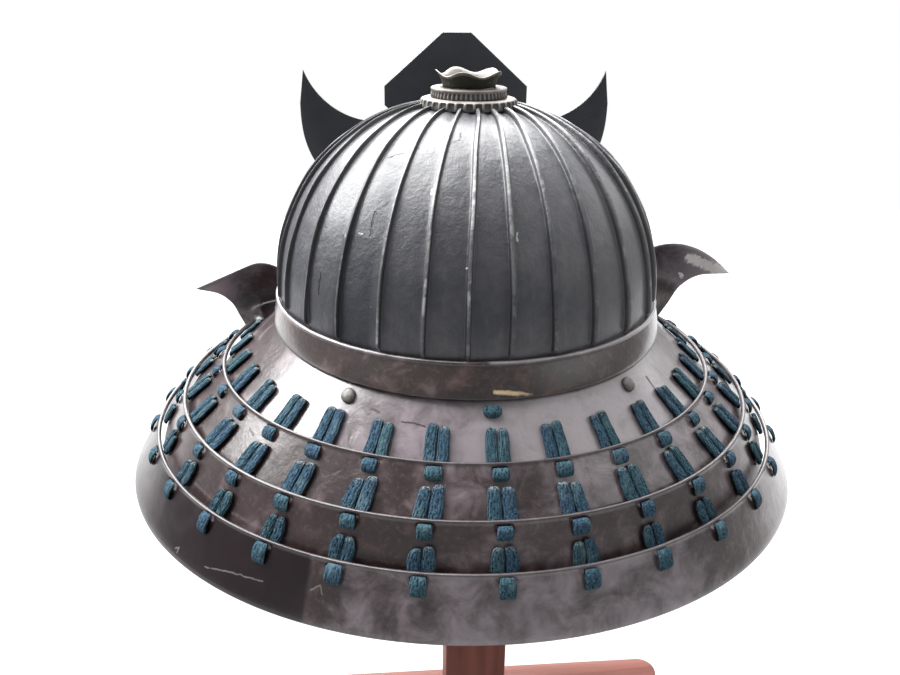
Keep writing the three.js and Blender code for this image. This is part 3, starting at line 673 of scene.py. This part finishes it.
def make_shell(name, face, back, slots=(), fields=None):
    """A wall between two sheets of points [down, along] of one shape, closed all round.

    A slot is (first row, last row, first column, last column): its quads are left out and its sides walled.
    """
    rows, columns = face.shape[:2]
    index = np.arange(rows * columns).reshape(rows, columns)
    kept = np.ones((rows - 1, columns - 1), dtype=bool)
    loops = [border(index)]
    for top, bottom, left, right in slots:
        kept[top:bottom, left:right] = False
        loops.append(border(index[top:bottom + 1, left:right + 1])[::-1])
    sheet = grid_faces(rows, columns, False, False)[kept.ravel()]
    far = rows * columns
    walls = [np.stack([loop, loop + far, np.roll(loop, -1) + far, np.roll(loop, -1)], axis=-1)
             for loop in loops]
    faces = [np.concatenate([sheet, sheet[:, ::-1] + far] + walls)]
    both = {key: np.concatenate([values.ravel()] * 2) for key, values in (fields or {}).items()}
    return make_piece(name, np.concatenate([face.reshape(-1, 3), back.reshape(-1, 3)]), faces, both)


# a lame's face from its rolled bead to its foot: distance from the upper edge and lift, millimetres;
# then the distances of the same rows on its back, and the shares of the way down of the rows below
BEAD = np.array([(1.0, -1.9), (0.3, -1.8), (-0.1, -1.2), (-0.2, -0.5), (-0.05, 0.1), (0.25, 0.38),
                 (0.65, 0.4), (1.05, 0.16), (1.6, 0.01), (2.4, 0.0), (4.2, 0.0)]) / 1000
BEAD_BACK = np.array([1.1, 1.2, 1.3, 1.35, 1.4, 1.5, 1.6, 1.7, 1.8, 2.4, 4.2]) / 1000
BELOW_BEAD = 0.0056
BELOW_SHARES = np.array([0.0, 0.10, 0.2, 0.3, 0.42, 0.54, 0.66, 0.78, 0.9, 0.97, 1.0])
FOOT_LIFTS = (-0.0002, -0.0008)
FOOT_BACK_LIFTS = (-0.0018, -0.0012)


def lame_columns(index):
    """Angles along a lame, with two at the sides of every slot, and the numbers of those columns."""
    middles = lace_angle(index, np.arange(-LACE_SIDE, LACE_SIDE + 1))
    half = SLOT_HALF / oval_radius(middles, *LAME_EDGES[index][:3])
    sides = np.stack([middles - half, middles + half], axis=-1).ravel()
    stops = np.concatenate([[-LAME_ENDS[index]], sides, [LAME_ENDS[index]]])
    counts = np.where(np.arange(len(stops) - 1) % 2 == 1, SLOT_COLUMNS, PLAIN_COLUMNS)
    angles = np.concatenate([np.linspace(low, high, count, endpoint=False)
                             for low, high, count in zip(stops, stops[1:], counts)] + [stops[-1:]])
    starts = np.cumsum(counts)[:-1][::2]
    return angles, starts, starts + SLOT_COLUMNS


# scratches: lame, angle (degrees) and distance down it (mm) of both ends, half width (mm)
SCRATCHES = ((3, -46.5, 23.5, -41.0, 19.5, 0.45), (3, -41.0, 19.5, -35.5, 17.5, 0.45),
             (3, -54.2, 25.0, -53.3, 23.6, 0.55), (3, -53.3, 23.6, -53.4, 26.5, 0.5),
             (3, -27.6, 14.5, -26.2, 11.5, 0.5), (3, -26.2, 11.5, -25.8, 15.0, 0.4),
             (0, -29.0, 4.0, -27.5, 4.6, 0.5))
# narrow splits in the lacquer, given in the same way
SLITS = ((0, -78.0, 14.7, -76.5, 9.3, 0.7), (0, -68.5, 16.3, -66.0, 6.7, 0.9),
         (0, -26.5, 9.7, -24.5, 10.3, 0.8), (0, -19.0, 12.7, -16.5, 12.3, 0.5),
         (0, -16.5, 12.3, -14.0, 13.3, 0.5), (0, 44.5, 9.3, 44.5, 16.5, 1.0),
         (1, -52.0, 8.0, -50.0, 9.5, 0.8))
# painted highlights on the right wing, as pale streaks: both ends and the half width
WING_HIGHLIGHTS = (((-0.1478, -0.0592, BROW - 0.0054), (-0.1664, -0.0519, BROW - 0.0122), 0.0048),
                ((-0.1454, -0.0634, BROW - 0.0184), (-0.1440, -0.0634, BROW - 0.0170), 0.0020))


def lame_marks(places):
    """Marks on the lames' faces from their angles and distances."""
    return [(*(Vector(on_lame(index, math.radians(angle), down / 1000, 0.0))
               for angle, down in (ends[:2], ends[2:4])), ends[4] / 1000) for index, *ends in places]


wing_highlights = [(Vector(start), Vector(end), half) for start, end, half in WING_HIGHLIGHTS]
lame_paint = lacquer("lame_lacquer", (0.020, 0.011, 0.012), (0.036, 0.018, 0.019), (0.060, 0.027, 0.024),
                     0.24, slits=lame_marks(SLITS),
                     wear_and_highlight=[(lame_marks(SCRATCHES), 0.0012, (0.115, 0.104, 0.098)),
                           (wing_highlights, 0.0060, (0.88, 0.86, 0.82))])

# how pale the lacquer of each lame is painted, as a painted sheen, and below 0 a painted shade: angles in
# degrees, and the amount at each
PAINTED_LIGHT_ON_LAMES = (((-64, -60, -20, 0, 45, 60), (0.1, 0.75, 0.9, 1.6, 1.5, 0.9)),
          ((-45, -20, 5, 20), (0.0, 0.15, 0.50, 0.75)),
          ((-20, 5), (0.0, 0.16)),
          ((-45, -38, -28.5, -24, 10, 28, 36, 44, 52), (-0.45, -0.36, -0.28, 0.75, 0.9, 1.2, 0.3, -0.1, 0.4)))
BEAD_CREST = 0.0003
BEAD_SPREAD = 0.0008


def painted_light_at(index, angle):
    """The painted paleness along a lame, straight between the places given."""
    return np.interp(np.degrees(angle), *PAINTED_LIGHT_ON_LAMES[index])


for index in range(1, LAST_LAME + 1):
    turn, slot_left, slot_right = lame_columns(index)
    tail = LAME_TUCK if index < LAST_LAME else 0.0
    below = BELOW_BEAD + (lame_axes(index, turn)[3] + tail - BELOW_BEAD) * BELOW_SHARES[:, None]
    face_down, back_down = (np.concatenate([down[:, None] + 0 * turn, below])
                            for down in (BEAD[:, 0], BEAD_BACK))
    middle_rows = len(BELOW_SHARES) - len(FOOT_LIFTS)
    face_lift = np.concatenate([BEAD[:, 1], np.zeros(middle_rows), FOOT_LIFTS])[:, None]
    back_lift = np.concatenate([np.full(len(BEAD) + middle_rows, -LAME_WALL), FOOT_BACK_LIFTS])[:, None]
    lame = make_shell(f"beaded_lame_{index + 1}", on_lame(index, turn, face_down, face_lift),
                      on_lame(index, turn, back_down, back_lift),
                      [(*SLOT_ROWS, left, right) for left, right in zip(slot_left, slot_right)],
                      {"edge": np.exp(-((face_down - BEAD_CREST) / BEAD_SPREAD) ** 2),
                       "pale": painted_light_at(index, turn) + 0 * face_down})
    settle(lame, lame_paint, "brown_lacquer", f"neck_lame_{index + 1}")

# the first lame's wings, left and right: inner and outer edge from the root to the tip, as x, y and z from
# the brow, and how far it arches between them, millimetres
WINGS = {1: np.array([(103, -58, -30, 131, -60, -38, 0), (106, -66, -26, 136, -64, -31, 0),
                      (105, -69, -14, 143, -61, -24, 0), (114, -66, -4, 154, -52, -18, 0)]) / 1000,
         -1: np.array([(-104, -58, -30, -137, -60, -34, 1), (-107, -66, -24, -145, -64, -25, 4),
                       (-109, -69, -13, -155, -60, -17, 8), (-116, -66, -4, -170, -50, -13, 12)]) / 1000}
WING_STEPS = 14
UNDER_SHARE = 0.72
CORNER_SHARE = 0.22
CORNER_BACK = 0.75
WING_LEAD = math.radians(8)
EDGE_WALL = (0.1, 0.6, 0.9)


def wing_rows(rows, share):
    """Points across a wing at each row: straight from edge to edge, plus arch * 4 v (1 - v) upwards."""
    inner, outer, arch = rows[:, None, :3], rows[:, None, 3:6], rows[:, None, 6:]
    straight = inner + (outer - inner) * share[:, None]
    return straight + arch * 4 * (share * (1 - share))[:, None] * (0, 0, 1) + (0, 0, BROW)


def smooth_through(rows, steps):
    """Catmull-Rom curves through rows of points, from the second row to the last but one."""
    pieces = []
    t = (np.arange(steps) / steps)[:, None, None]
    for a, b, c, d in zip(rows, rows[1:], rows[2:], rows[3:]):
        pieces.append(b + 0.5 * t * (c - a + t * (2 * a - 5 * b + 4 * c - d + t * (3 * (b - c) + d - a))))
    return np.concatenate(pieces + [rows[-2][None]])


def rounded_corner(rows):
    """A wing with a rounded inner corner: rows slide back by 1 - sqrt(1 - (1 - share / corner) ^ 2)."""
    last = rows[-WING_STEPS - 1:]
    slide = CORNER_BACK * (1 - np.sqrt(1 - (1 - np.minimum(share / CORNER_SHARE, 1)) ** 2))
    place = np.arange(WING_STEPS + 1)[:, None] * (1 - slide)
    low = np.minimum(place.astype(int), WING_STEPS - 1)
    column = np.arange(len(share))[None, :]
    part = (place - low)[..., None]
    slid = last[low, column] * (1 - part) + last[low + 1, column] * part
    return np.concatenate([rows[:-WING_STEPS - 1], slid])


def lame_line(angle, share):
    """Points across the first lame, face middle, at shares 0 (upper edge) to 1 (end of the tuck)."""
    length = lame_axes(0, angle)[3]
    distance = np.where(share <= UNDER_SHARE, share / UNDER_SHARE * length,
                        length + (share - UNDER_SHARE) / (1 - UNDER_SHARE) * LAME_TUCK)
    return on_lame(0, angle, distance, -LAME_WALL / 2)


def thinned(count):
    """1 along a line of points, less at its first and last three, where the wall is rounded off."""
    return np.concatenate([EDGE_WALL, np.ones(count - 6), EDGE_WALL[::-1]])


share = np.concatenate([[0.0, 0.004, 0.012, 0.03], np.linspace(0.06, 0.94, 26), [0.97, 0.988, 0.996, 1.0]])
turn = np.linspace(-LAME_ENDS[0], LAME_ENDS[0], FIRST_COLUMNS)
first = np.array([lame_line(angle, share) for angle in turn])
wings = {}
for side, end in ((1, 0), (-1, -1)):
    before = lame_line(turn[end] + side * WING_LEAD, share)
    rows = [before, first[end], *wing_rows(WINGS[side], share)]
    rows.append(2 * rows[-1] - rows[-2])
    wings[side] = rounded_corner(smooth_through(np.array(rows), WING_STEPS)[1:])
middle = np.concatenate([wings[1][::-1], first, wings[-1]]).transpose(1, 0, 2)
outward = unit(np.cross(np.gradient(middle, axis=0), np.gradient(middle, axis=1)))
half_wall = outward * np.outer(thinned(len(share)), thinned(middle.shape[1]))[..., None] * LAME_WALL / 2

# painted sheen on the wings: they are pale towards their outer edges, and each is palest at one of its ends;
# below 0 it is painted shade
left_wing_painted_light = np.interp(share, (0.4, 0.9), (-0.3, 1.0))[:, None] + np.linspace(0.8, -0.5, len(wings[1]))
right_wing_painted_light = (np.interp(share, (0.3, 0.5, 0.8, 1.0), (-0.4, 0.0, 0.5, 1.2))[:, None]
               + np.linspace(-1.0, 1.4, len(wings[-1])))
painted_light = np.concatenate([left_wing_painted_light, painted_light_at(0, turn) + 0 * share[:, None], right_wing_painted_light], axis=1)
lame_one = make_shell("winged_lame_1", middle + half_wall, middle - half_wall, (), {"pale": painted_light})
settle(lame_one, lame_paint, "brown_lacquer", "neck_lame_1")


# ---- rivets and back knot ------------------------------------------------
# Two iron dome rivets in the first lame, and between them at the middle of the back the knotted end of
# the silk that ties it to the waist band.

RIVETS = {"left": math.radians(-33), "right": math.radians(36)}
RIVET_DOWN = 0.0070
RIVET_LIFT = 0.0005
RIVET_RADIUS = 0.0036
RIVET_HEIGHT = 0.0022
RIVET_SIDES = 32
RIVET_CLIMBS = np.radians((2.0, 15.0, 30.0, 45.0, 60.0, 75.0, 90.0))[:, None]

rivet_iron, rivet_point = new_material("rivet_iron")
rivet_cloud = rivet_point.noise(500.0)
dress(rivet_point, base_color=rivet_cloud.mix((0.07, 0.065, 0.06), (0.18, 0.17, 0.16)),
      metallic=0.3, roughness=0.5, bump_height=rivet_cloud, bump_depth=0.0003)


def tube_faces(rows, columns):
    """A tube's faces over points numbered row by row: its side, and a flat face at both ends."""
    rim = np.arange(columns)
    return [grid_faces(rows, columns, False, True), rim[None, ::-1], rim[None] + (rows - 1) * columns]


def make_rivet(name, angle):
    """A flat-footed dome on the first lame: lift = height * cos(climb) ^ 0.8 over radius * sin(climb)."""
    around = full_turn(RIVET_SIDES)
    across = RIVET_RADIUS * np.sin(RIVET_CLIMBS) * np.cos(around)
    down = RIVET_RADIUS * np.sin(RIVET_CLIMBS) * np.sin(around)
    up = RIVET_HEIGHT * np.cos(RIVET_CLIMBS) ** 0.8 + 0 * around
    angles = angle + across / np.linalg.norm(on_lame(0, angle, RIVET_DOWN, 0.0)[:2])
    points = on_lame(0, angles, RIVET_DOWN + down, RIVET_LIFT + up)
    return make_piece(name, points, tube_faces(len(RIVET_CLIMBS), RIVET_SIDES))


for side, angle in RIVETS.items():
    settle(make_rivet(f"dome_rivet_{side}", angle), rivet_iron, "rivet_iron", f"lame_rivet_{side}")


# ---- lacing --------------------------------------------------------------
# Nineteen columns of braided indigo silk. Each column lies as a pair of flat cords over a lame, goes
# behind the next lame's bead and comes out of its slot as a short loop.

CORD_THICK = 0.0023
CORD_LIFT = 0.00035
CORD_SIDES = 36
STRANDS = 5
FRAY_AND_GLINT_LENGTH = 0.0015
PAIR_STEPS = 48
PAIR_START = (0.0122, 0.0104, 0.0112)
FIRST_GROWTH = 1.2
PAIR_PAST = 0.0010
# half width of a whole pair at its top, middle and end on each lame, and how pale its cords start, partly
# fraying and partly a painted highlight
PAIR_HALVES = ((0.0046, 0.0050, 0.0054), (0.0050, 0.0059, 0.0061), (0.0040, 0.0056, 0.0050))
PAIR_FRAY_AND_GLINT = ((0.2, 1.0), (0.3, 1.0), (0.0, 0.5))
LOOP_STEPS = 26
LOOP_HALF = 0.0037
LOOP_REACH = ((0.0020, 0.0084), (0.0018, 0.0086), (0.0015, 0.0104))
KNOT_HALF = 0.0039
KNOT_REACH = (0.0024, 0.0082)

silk, silk_point = new_material("indigo_silk")
strand_shade, tint, fray_and_glint = (silk_point.field(name) for name in ("strand_shade", "tint", "fray_and_glint"))
wool = silk_point.noise(1100.0, detail=4.0, roughness=0.65)
faded = silk_point.noise(150.0)
dyed = tint.mix((0.047, 0.097, 0.156), (0.047, 0.110, 0.130))
silk_shade = wool.rise(0.34, 0.66).mix((0.014, 0.030, 0.047), dyed)
silk_shade = (faded.rise(0.50, 0.72) * 0.6).mix(silk_shade, (0.082, 0.138, 0.160))
# partly fraying, partly painted highlight: pale grey where a cord starts
silk_shade = (fray_and_glint * wool.rise(0.42, 0.58)).mix(silk_shade, (0.26, 0.29, 0.27))
# painted shade: near black between the strands and on the cords' undersides
silk_shade = strand_shade.rise(0.05, 0.60).mix((0.001, 0.004, 0.007), silk_shade)
dress(silk_point, base_color=silk_shade, roughness=0.9, specular_ior_level=0.18,
      bump_height=wool + strand_shade * 0.6, bump_depth=0.0006)


def cord(index, angles, distances, lifts, halves, thick, shift, random, tip_fray_and_glint=0.0):
    """One flat cord along a lame, with lengthwise strands.

    Its section is (c |c|^-0.25, s |s|^-0.2) for c, s = cos, sin round it; it is raised by
    |sin(strands * across + twist)|, the twist growing slowly along the cord.
    """
    around = full_turn(CORD_SIDES)
    across = np.sign(np.cos(around)) * np.abs(np.cos(around)) ** 0.75
    upward = 0.5 + 0.5 * np.sign(np.sin(around)) * np.abs(np.sin(around)) ** 0.8
    run = np.cumsum(np.concatenate([[0], np.hypot(np.diff(distances), np.diff(lifts))]))[:, None]
    twist = random.uniform(0, 3) + run * random.uniform(60, 140)
    twist = twist + 0.5 * np.sin(run * 900 + random.uniform(0, 6))
    relief = np.abs(np.sin(across * STRANDS * math.pi / 2 + twist)) ** 0.7
    sideways = shift[:, None] + across * halves[:, None]
    up = lifts[:, None] + upward * thick[:, None] * (0.80 + 0.20 * relief)
    radius = np.hypot(*np.moveaxis(on_lame(index, angles, distances, 0.0)[:, :2], -1, 0))
    points = on_lame(index, angles[:, None] + sideways / radius[:, None], distances[:, None], up)
    # painted shade: dark between the strands and towards the underside
    shade = relief * np.clip(upward * 1.6 - 0.25, 0, 1)
    fray_and_glint = np.exp(-(run / FRAY_AND_GLINT_LENGTH) ** 2) * tip_fray_and_glint + 0 * shade
    return (points.reshape(-1, 3), tube_faces(len(run), CORD_SIDES), shade.ravel(),
            np.full(shade.size, random.uniform(0, 1)), fray_and_glint.ravel())


def join(parts):
    """Several cords made into one body: its points, faces and three fields."""
    offsets = np.cumsum([0] + [len(part[0]) for part in parts])
    faces = [group + offset for part, offset in zip(parts, offsets) for group in part[1]]
    fields = {name: np.concatenate([part[k] for part in parts])
              for k, name in enumerate(("strand_shade", "tint", "fray_and_glint"), start=2)}
    return np.concatenate([part[0] for part in parts]), faces, fields


def tapered(count, end, share):
    """1 along a cord, rounded off to the given value over a share of its length at both ends."""
    t = np.linspace(0, 1, count)
    far = 1 - np.clip(np.minimum(t, 1 - t) / share, 0, 1)
    return end + (1 - end) * np.sqrt(1 - far ** 2)


def loop(index, angle, random, half, start, end, corner=0.72):
    """A short loop out of a slot: it rises over the lame's face and turns in again."""
    t = np.linspace(0, 1, LOOP_STEPS)
    start, end = start + random.uniform(-0.0002, 0.0003), end + random.uniform(-0.0006, 0.0004)
    lifts = 0.0001 + 0.0006 * np.sin(math.pi * t) ** 0.7
    halves = half * tapered(LOOP_STEPS, corner, 0.5 - 0.2 * corner) * random.uniform(0.90, 1.06)
    thick = 0.85 * CORD_THICK * tapered(LOOP_STEPS, 0.2, 0.4)
    shift = np.full(LOOP_STEPS, random.uniform(-0.0004, 0.0004))
    return cord(index, angle + 0 * t, start + (end - start) * t, lifts, halves, thick, shift, random)


def pair(index, column, random):
    """Two cords side by side from the lame's upper part down behind the next bead."""
    top, below = lace_angle(index, column), lace_angle(index + 1, column)
    end = float(lame_axes(index, below)[3]) + PAIR_PAST
    first = PAIR_START[index]
    if index == 0:
        first += FIRST_GROWTH * float(lame_axes(0, top)[3] - lame_axes(0, 0.0)[3])
    t = np.linspace(0, 1, PAIR_STEPS)
    wide, middle, low = PAIR_HALVES[index]
    outline = wide * (1 - t) ** 2 + 2 * (2 * middle - (wide + low) / 2) * t * (1 - t) + low * t ** 2
    outline = outline * random.uniform(0.95, 1.05)
    lean = random.uniform(-0.0005, 0.0005)
    cords = []
    for side in (-1, 1):
        start = first + random.uniform(-0.0013, 0.0009)
        distances = start + (end - start) * t
        angles = top + (below - top) * (distances - first) / (end - first)
        wave = 0.00015 * np.sin(t * 7 + random.uniform(0, 6)) + lean * (1 - t)
        halves = outline * 0.49 * tapered(PAIR_STEPS, 0.45, 0.16)
        thick = CORD_THICK * tapered(PAIR_STEPS, 0.45, 0.12)
        cords.append(cord(index, angles, distances, CORD_LIFT + 0 * t, halves, thick,
                          side * outline * 0.52 + wave, random, random.uniform(*PAIR_FRAY_AND_GLINT[index])))
    return cords


for number, column in enumerate(range(-LACE_SIDE, LACE_SIDE + 1)):
    random = np.random.default_rng(100 + number)
    parts = []
    for index in range(LAST_LAME):
        parts += pair(index, column, random)
        parts.append(loop(index + 1, lace_angle(index + 1, column), random, LOOP_HALF, *LOOP_REACH[index]))
    lace = make_piece(f"braided_column_{number + 1:02d}", *join(parts))
    settle(lace, silk, "indigo_silk", f"lace_{number + 1:02d}")

knot = make_piece("tied_back_knot",
                  *join([loop(0, 0.0, np.random.default_rng(7), KNOT_HALF, *KNOT_REACH, corner=0.25)]))
settle(knot, silk, "indigo_silk", "back_knot")


# ---- visor and crest -----------------------------------------------------
# A black lacquered brim over the brow, a bracket standing on it, and in the bracket two thin black
# plates: a broad crescent and, in front of it, a diamond with clipped corners.

VISOR_ROOT = (0.10183, 0.1118, 0.10960)
VISOR_CLEAR = 0.0003
VISOR_END = 0.0040
VISOR_REACH = 0.0300
VISOR_TOP = -0.0050
VISOR_DROP = 0.0090
VISOR_HALF_ANGLE = math.radians(46)
VISOR_COLUMNS = 81
CREST_X = -0.0060
CREST_BACK = -0.1240
CREST_FRONT = -0.1260
CREST_THICK = 0.0020
CREST_GAP = 0.0003
CREST_BEVEL = 0.0005

black, black_point = new_material("crest_black")
black_cloud = black_point.noise(60.0, detail=5.0)
black_fine = black_point.noise(600.0)
dress(black_point, base_color=black_cloud.mix((0.021, 0.024, 0.030), (0.039, 0.042, 0.050)),
      roughness=0.42 + black_cloud * 0.15, bump_height=black_cloud + black_fine * 0.1, bump_depth=0.0006)

visor_side = np.linspace(-1, 1, VISOR_COLUMNS)
visor_turn = math.pi + visor_side * VISOR_HALF_ANGLE
visor_root = oval_radius(visor_turn, *VISOR_ROOT) + VISOR_CLEAR
visor_reach = VISOR_END + (VISOR_REACH - VISOR_END) * np.sqrt(1 - 0.98 * visor_side ** 2)
visor_share = np.array([0.0, 0.02, 0.1, 0.2, 0.35, 0.5, 0.65, 0.8, 0.9, 0.97, 1.0])[:, None]
visor_edge = np.concatenate([[0.3], np.zeros(9), [0.4]])[:, None] * CREST_THICK
visor_fall = VISOR_DROP * (visor_share * visor_reach / VISOR_REACH) ** 1.4


def visor_sheet(lower):
    """Radius = root + reach * share, height = top - drop * (share * reach / longest reach) ^ 1.4 - lower."""
    return polar(visor_root + visor_reach * visor_share, visor_turn, VISOR_TOP - visor_fall - lower)


visor = make_shell("brow_visor", visor_sheet(visor_edge), visor_sheet(CREST_THICK - visor_edge))
settle(visor, black, "crest_black", "visor")

BEVEL_TURNS = (0, 0.8, 1.5708)
SHARP_EDGE = math.radians(40)


def make_slab(name, outline, axis, low, high, bevel):
    """A slab with a flat outline, seen along the axis, between two planes; all its edges are bevelled.

    Its rows are the outline moved in by bevel * (1 - sin a) at low + bevel * (1 - cos a), and their mirror.
    """
    ahead = np.roll(outline, -1, axis=0)
    sides = unit((ahead - outline)[:, ::-1] * (1, -1))
    total = sides + np.roll(sides, 1, axis=0)
    inward = total / np.maximum((total ** 2).sum(-1, keepdims=True) / 2, 0.5)
    area = np.sum(outline[:, 0] * ahead[:, 1] - ahead[:, 0] * outline[:, 1])
    inward = -inward * np.sign(area)
    rows = [(outline + inward * bevel * (1 - math.sin(a)), low + bevel * (1 - math.cos(a)))
            for a in BEVEL_TURNS]
    rows += [(flat, low + high - place) for flat, place in reversed(rows)]
    points = np.stack([np.insert(flat, axis, place, axis=1) for flat, place in rows])
    slab = make_piece(name, points, tube_faces(len(rows), len(outline)))
    slab.data.set_sharp_from_angle(angle=SHARP_EDGE)
    return slab


SOCKET_HALF = 0.0090
SOCKET_DEPTH = 0.0050
SOCKET_TOP = 0.0340
SOCKET_FOOT = -0.0065

socket_outline = (np.array([(-1, 0), (1, 0), (1, 1), (-1, 1)]) * (SOCKET_HALF, SOCKET_DEPTH)
                  + (CREST_X, CREST_BACK + CREST_GAP))
socket = make_slab("crest_bracket", socket_outline, 2, BROW + SOCKET_FOOT, BROW + SOCKET_TOP, CREST_BEVEL)
settle(socket, black, "crest_black", "crest_socket")

HORN_CENTRE = 0.0800
HORN_HALF = 0.0990
HORN_DROP = 0.0690
HORN_POWER = 2.6
HORN_TIP = (0.0963, 0.1004)
HORN_INNER = (0.0509, 0.1175)
HORN_INNER_RADIUS = 0.0485
HORN_STEPS = (97, 40)

# below, |x / half|^power + |z / drop|^power = 1; above, a circle inside each horn, from its tip to the middle
level = np.sin(np.linspace(-math.pi / 2, math.pi / 2, HORN_STEPS[0]))
drop = HORN_DROP * (1 - np.abs(level) ** HORN_POWER) ** (1 / HORN_POWER)
lower = np.stack([level * HORN_HALF, HORN_CENTRE - drop], -1)
tip_turn = math.atan2(HORN_TIP[1] - HORN_INNER[1], HORN_TIP[0] - HORN_INNER[0])
arc = np.linspace(tip_turn, -math.pi / 2, HORN_STEPS[1])
right_arc = np.stack([np.cos(arc), np.sin(arc)], -1) * HORN_INNER_RADIUS + HORN_INNER
horns = np.concatenate([lower, right_arc, (right_arc * (-1, 1))[::-1]]) + (CREST_X, BROW)
crescent = make_slab("crest_horns", horns, 1, CREST_FRONT, CREST_BACK, CREST_BEVEL)
settle(crescent, black, "crest_black", "crest_crescent")

DIAMOND_CENTRE = 0.0845
DIAMOND_HALF = 0.0458
DIAMOND_RISE = 0.0385
DIAMOND_TOP_HALF = 0.0090
DIAMOND_SIDE_HALF = 0.0060

corners = np.array([(DIAMOND_TOP_HALF, DIAMOND_RISE), (DIAMOND_HALF, DIAMOND_SIDE_HALF),
                    (DIAMOND_HALF, -DIAMOND_SIDE_HALF), (DIAMOND_TOP_HALF, -DIAMOND_RISE)])
diamond_outline = np.concatenate([corners, -corners]) + (CREST_X, BROW + DIAMOND_CENTRE)
front = CREST_FRONT - CREST_GAP
diamond = make_slab("crest_diamond", diamond_outline, 1, front - CREST_THICK, front, CREST_BEVEL)
settle(diamond, black, "crest_black", "crest_plate")


# ---- stand ---------------------------------------------------------------
# Red-brown lacquered wood: a board, a square post, a round-ended crossbar against the post, and a block
# under the bowl's crown.

BOARD_CENTRE = (0.0, 0.018)
BOARD_HALF = (0.130, 0.095)
BOARD_CORNER = 0.014
BOARD_THICK = 0.018
BOARD_BEVEL = 0.002
POST_CENTRE = (-0.004, 0.047)
POST_HALF = (0.017, 0.011)
POST_CORNER = 0.0012
POST_TOP = 0.4177
POST_BEVEL = 0.0008
BAR_Z = (0.086, 0.110)
BAR_HALF = (0.119, 0.010)
BAR_BEVEL = 0.0015
STAND_GAP = 0.0003


def stained_wood(name, along):
    """Red-brown stained wood. Its grain runs along the axis that the factors shorten."""
    material, point = new_material(name)
    grain = point.vector("MULTIPLY", point, along).noise(130.0, detail=5.0, distortion=1.2)
    stain = grain.rise(0.3, 0.7).mix((0.118, 0.033, 0.023), (0.182, 0.054, 0.038))
    dress(point, base_color=stain, roughness=0.6, specular_ior_level=0.35,
          bump_height=grain, bump_depth=0.0004)
    return material


upright_wood = stained_wood("upright_wood", (1.0, 1.0, 0.08))
level_wood = stained_wood("level_wood", (0.08, 1.0, 1.0))


def rounded(half, corner, centre):
    """A rectangle's outline with quarter circles at its corners."""
    arc = np.linspace(0, math.pi / 2, 9)
    quarter = np.stack([np.cos(arc), np.sin(arc)], -1) * corner + np.array(half) - corner
    top = np.concatenate([quarter, (quarter * (-1, 1))[::-1]])
    return np.concatenate([top, -top]) + centre


board = make_slab("stand_board", rounded(BOARD_HALF, BOARD_CORNER, BOARD_CENTRE), 2,
                  0.0, BOARD_THICK, BOARD_BEVEL)
settle(board, level_wood, "stand_wood", "stand_base")
post = make_slab("stand_upright", rounded(POST_HALF, POST_CORNER, POST_CENTRE), 2,
                 BOARD_THICK + STAND_GAP, POST_TOP, POST_BEVEL)
settle(post, upright_wood, "stand_wood", "stand_post")
bar_centre = (POST_CENTRE[0], POST_CENTRE[1] - POST_HALF[1] - STAND_GAP - BAR_HALF[1])
bar = make_slab("stand_bar", rounded(BAR_HALF, BAR_HALF[1] - 1e-5, bar_centre), 2, *BAR_Z, BAR_BEVEL)
settle(bar, level_wood, "stand_wood", "stand_crossbar")

BLOCK_FOOT = 0.0580
BLOCK_INSET = 0.0027
BLOCK_ROWS = 14
BLOCK_COLUMNS = 96

block_turn = full_turn(BLOCK_COLUMNS)
block_start = math.asin(((BLOCK_FOOT - BOWL_FOOT) / (BOWL_HEIGHT - BLOCK_INSET)) ** (BOWL_POWER / 2))
block_climb = np.linspace(block_start, crown_climb(BLOCK_INSET), BLOCK_ROWS)[:, None]
block_oval = oval_radius(block_turn, BOWL_HALF_WIDTH - BLOCK_INSET, *[BOWL_HALF_LENGTH - BLOCK_INSET] * 2)
block_points = polar(block_oval * np.cos(block_climb) ** (2 / BOWL_POWER), block_turn,
                     BOWL_FOOT + (BOWL_HEIGHT - BLOCK_INSET) * np.sin(block_climb) ** (2 / BOWL_POWER))
block = make_piece("stand_block", block_points, tube_faces(BLOCK_ROWS, BLOCK_COLUMNS))
block.data.set_sharp_from_angle(angle=SHARP_EDGE)
settle(block, upright_wood, "stand_wood", "stand_head")
